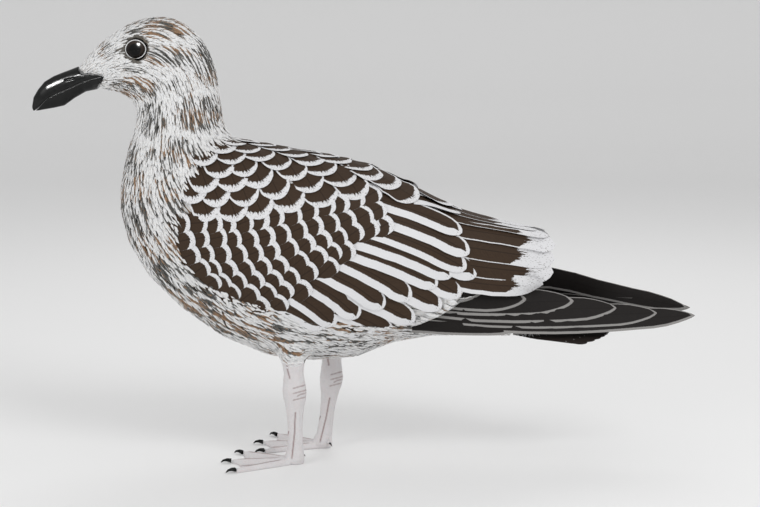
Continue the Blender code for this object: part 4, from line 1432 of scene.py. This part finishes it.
def colour_value(name, description, default):
    return FloatVectorProperty(name=name, description=description, subtype="COLOR",
                               default=linear(default)[:3])


def place_value(name, description, default):
    return FloatVectorProperty(name=name, description=description, subtype="TRANSLATION",
                               unit="LENGTH", default=default)


class GULL_PG_plumage(bpy.types.PropertyGroup):
    white: colour_value("White", "Ground colour of the body feathers", "#F4F3F2")
    streak_grey: colour_value("Grey streaks", "Colour of the dark streaks", "#575653")
    streak_tan: colour_value("Tan streaks", "Colour of the warm streaks", "#92745A")
    face_spacing: length("Face spacing", "Between feathers of the face", 0.0016)
    body_spacing: length("Body spacing", "Between feathers of the belly", 0.0030)
    length_ratio: number("Length", "Feather length for its spacing", 4.8)
    width_ratio: number("Width", "Feather width for its spacing", 1.5)


class GULL_PG_head(bpy.types.PropertyGroup):
    eye_centre: place_value("Eye", "Centre of the right eyeball", (-0.2206, 0.0192, 0.4100))
    eye_radius: length("Eye radius", "Radius of the eyeball", 0.0104)
    lid_radius: length("Lid radius", "From the eye's middle to the lid", 0.0090)
    bill_detail: length("Bill detail", "Size of the bill's faces", 0.0006)


class GULL_PG_legs(bpy.types.PropertyGroup):
    detail: number("Leg detail", "Size of the legs' faces in mm", 0.8)


class GULL_PG_stage(bpy.types.PropertyGroup):
    key_power: power("Key", "Power of the main light", 12.0)
    fill_power: power("Fill", "Power of the second light", 7.0)
    rim_power: power("Rim", "Power of the light behind", 5.0)
    eye_power: power("Eyes", "Power of the lamp that lights the eyes alone", 90.0)
    bill_power: power("Bill", "Power of the lamp that lights the bill alone", 6.0)
    ambient: number("Ambient", "Strength of the light all round", 0.66)
    lens: number("Lens", "Focal length in mm", 81.3)
    camera_place: place_value("Camera", "Where the camera stands", (0.0165, -1.7, 0.44))
    camera_pitch: number("Pitch", "How far the camera looks down, degrees", 7.81)


OPERATORS = [GULL_OT_skin, GULL_OT_coat, GULL_OT_wings, GULL_OT_tail, GULL_OT_bill, GULL_OT_eyes,
             GULL_OT_claws, GULL_OT_stage]


class GULL_PT_panel(bpy.types.Panel):
    """Builds the gull piece by piece"""
    bl_idname = "GULL_PT_panel"
    bl_label = "Gull"
    bl_space_type = "VIEW_3D"
    bl_region_type = "UI"
    bl_category = "Gull"

    def draw(self, context):
        for operator in OPERATORS:
            self.layout.operator(operator.bl_idname)


GROUPS = {"gull_plumage": GULL_PG_plumage, "gull_head": GULL_PG_head, "gull_legs": GULL_PG_legs,
          "gull_stage": GULL_PG_stage}


def register():
    for kind in [*GROUPS.values(), *OPERATORS, GULL_PT_panel]:
        bpy.utils.register_class(kind)
    for name, group in GROUPS.items():
        setattr(bpy.types.Scene, name, PointerProperty(type=group))


def unregister():
    for name in GROUPS:
        delattr(bpy.types.Scene, name)
    for kind in reversed([*GROUPS.values(), *OPERATORS, GULL_PT_panel]):
        bpy.utils.unregister_class(kind)


def main():
    register()
    for operator in OPERATORS:
        if getattr(bpy.ops.gull, operator.bl_idname.split(".")[1])() != {"FINISHED"}:
            raise RuntimeError(operator.bl_label)


if __name__ == "__main__":
    main()
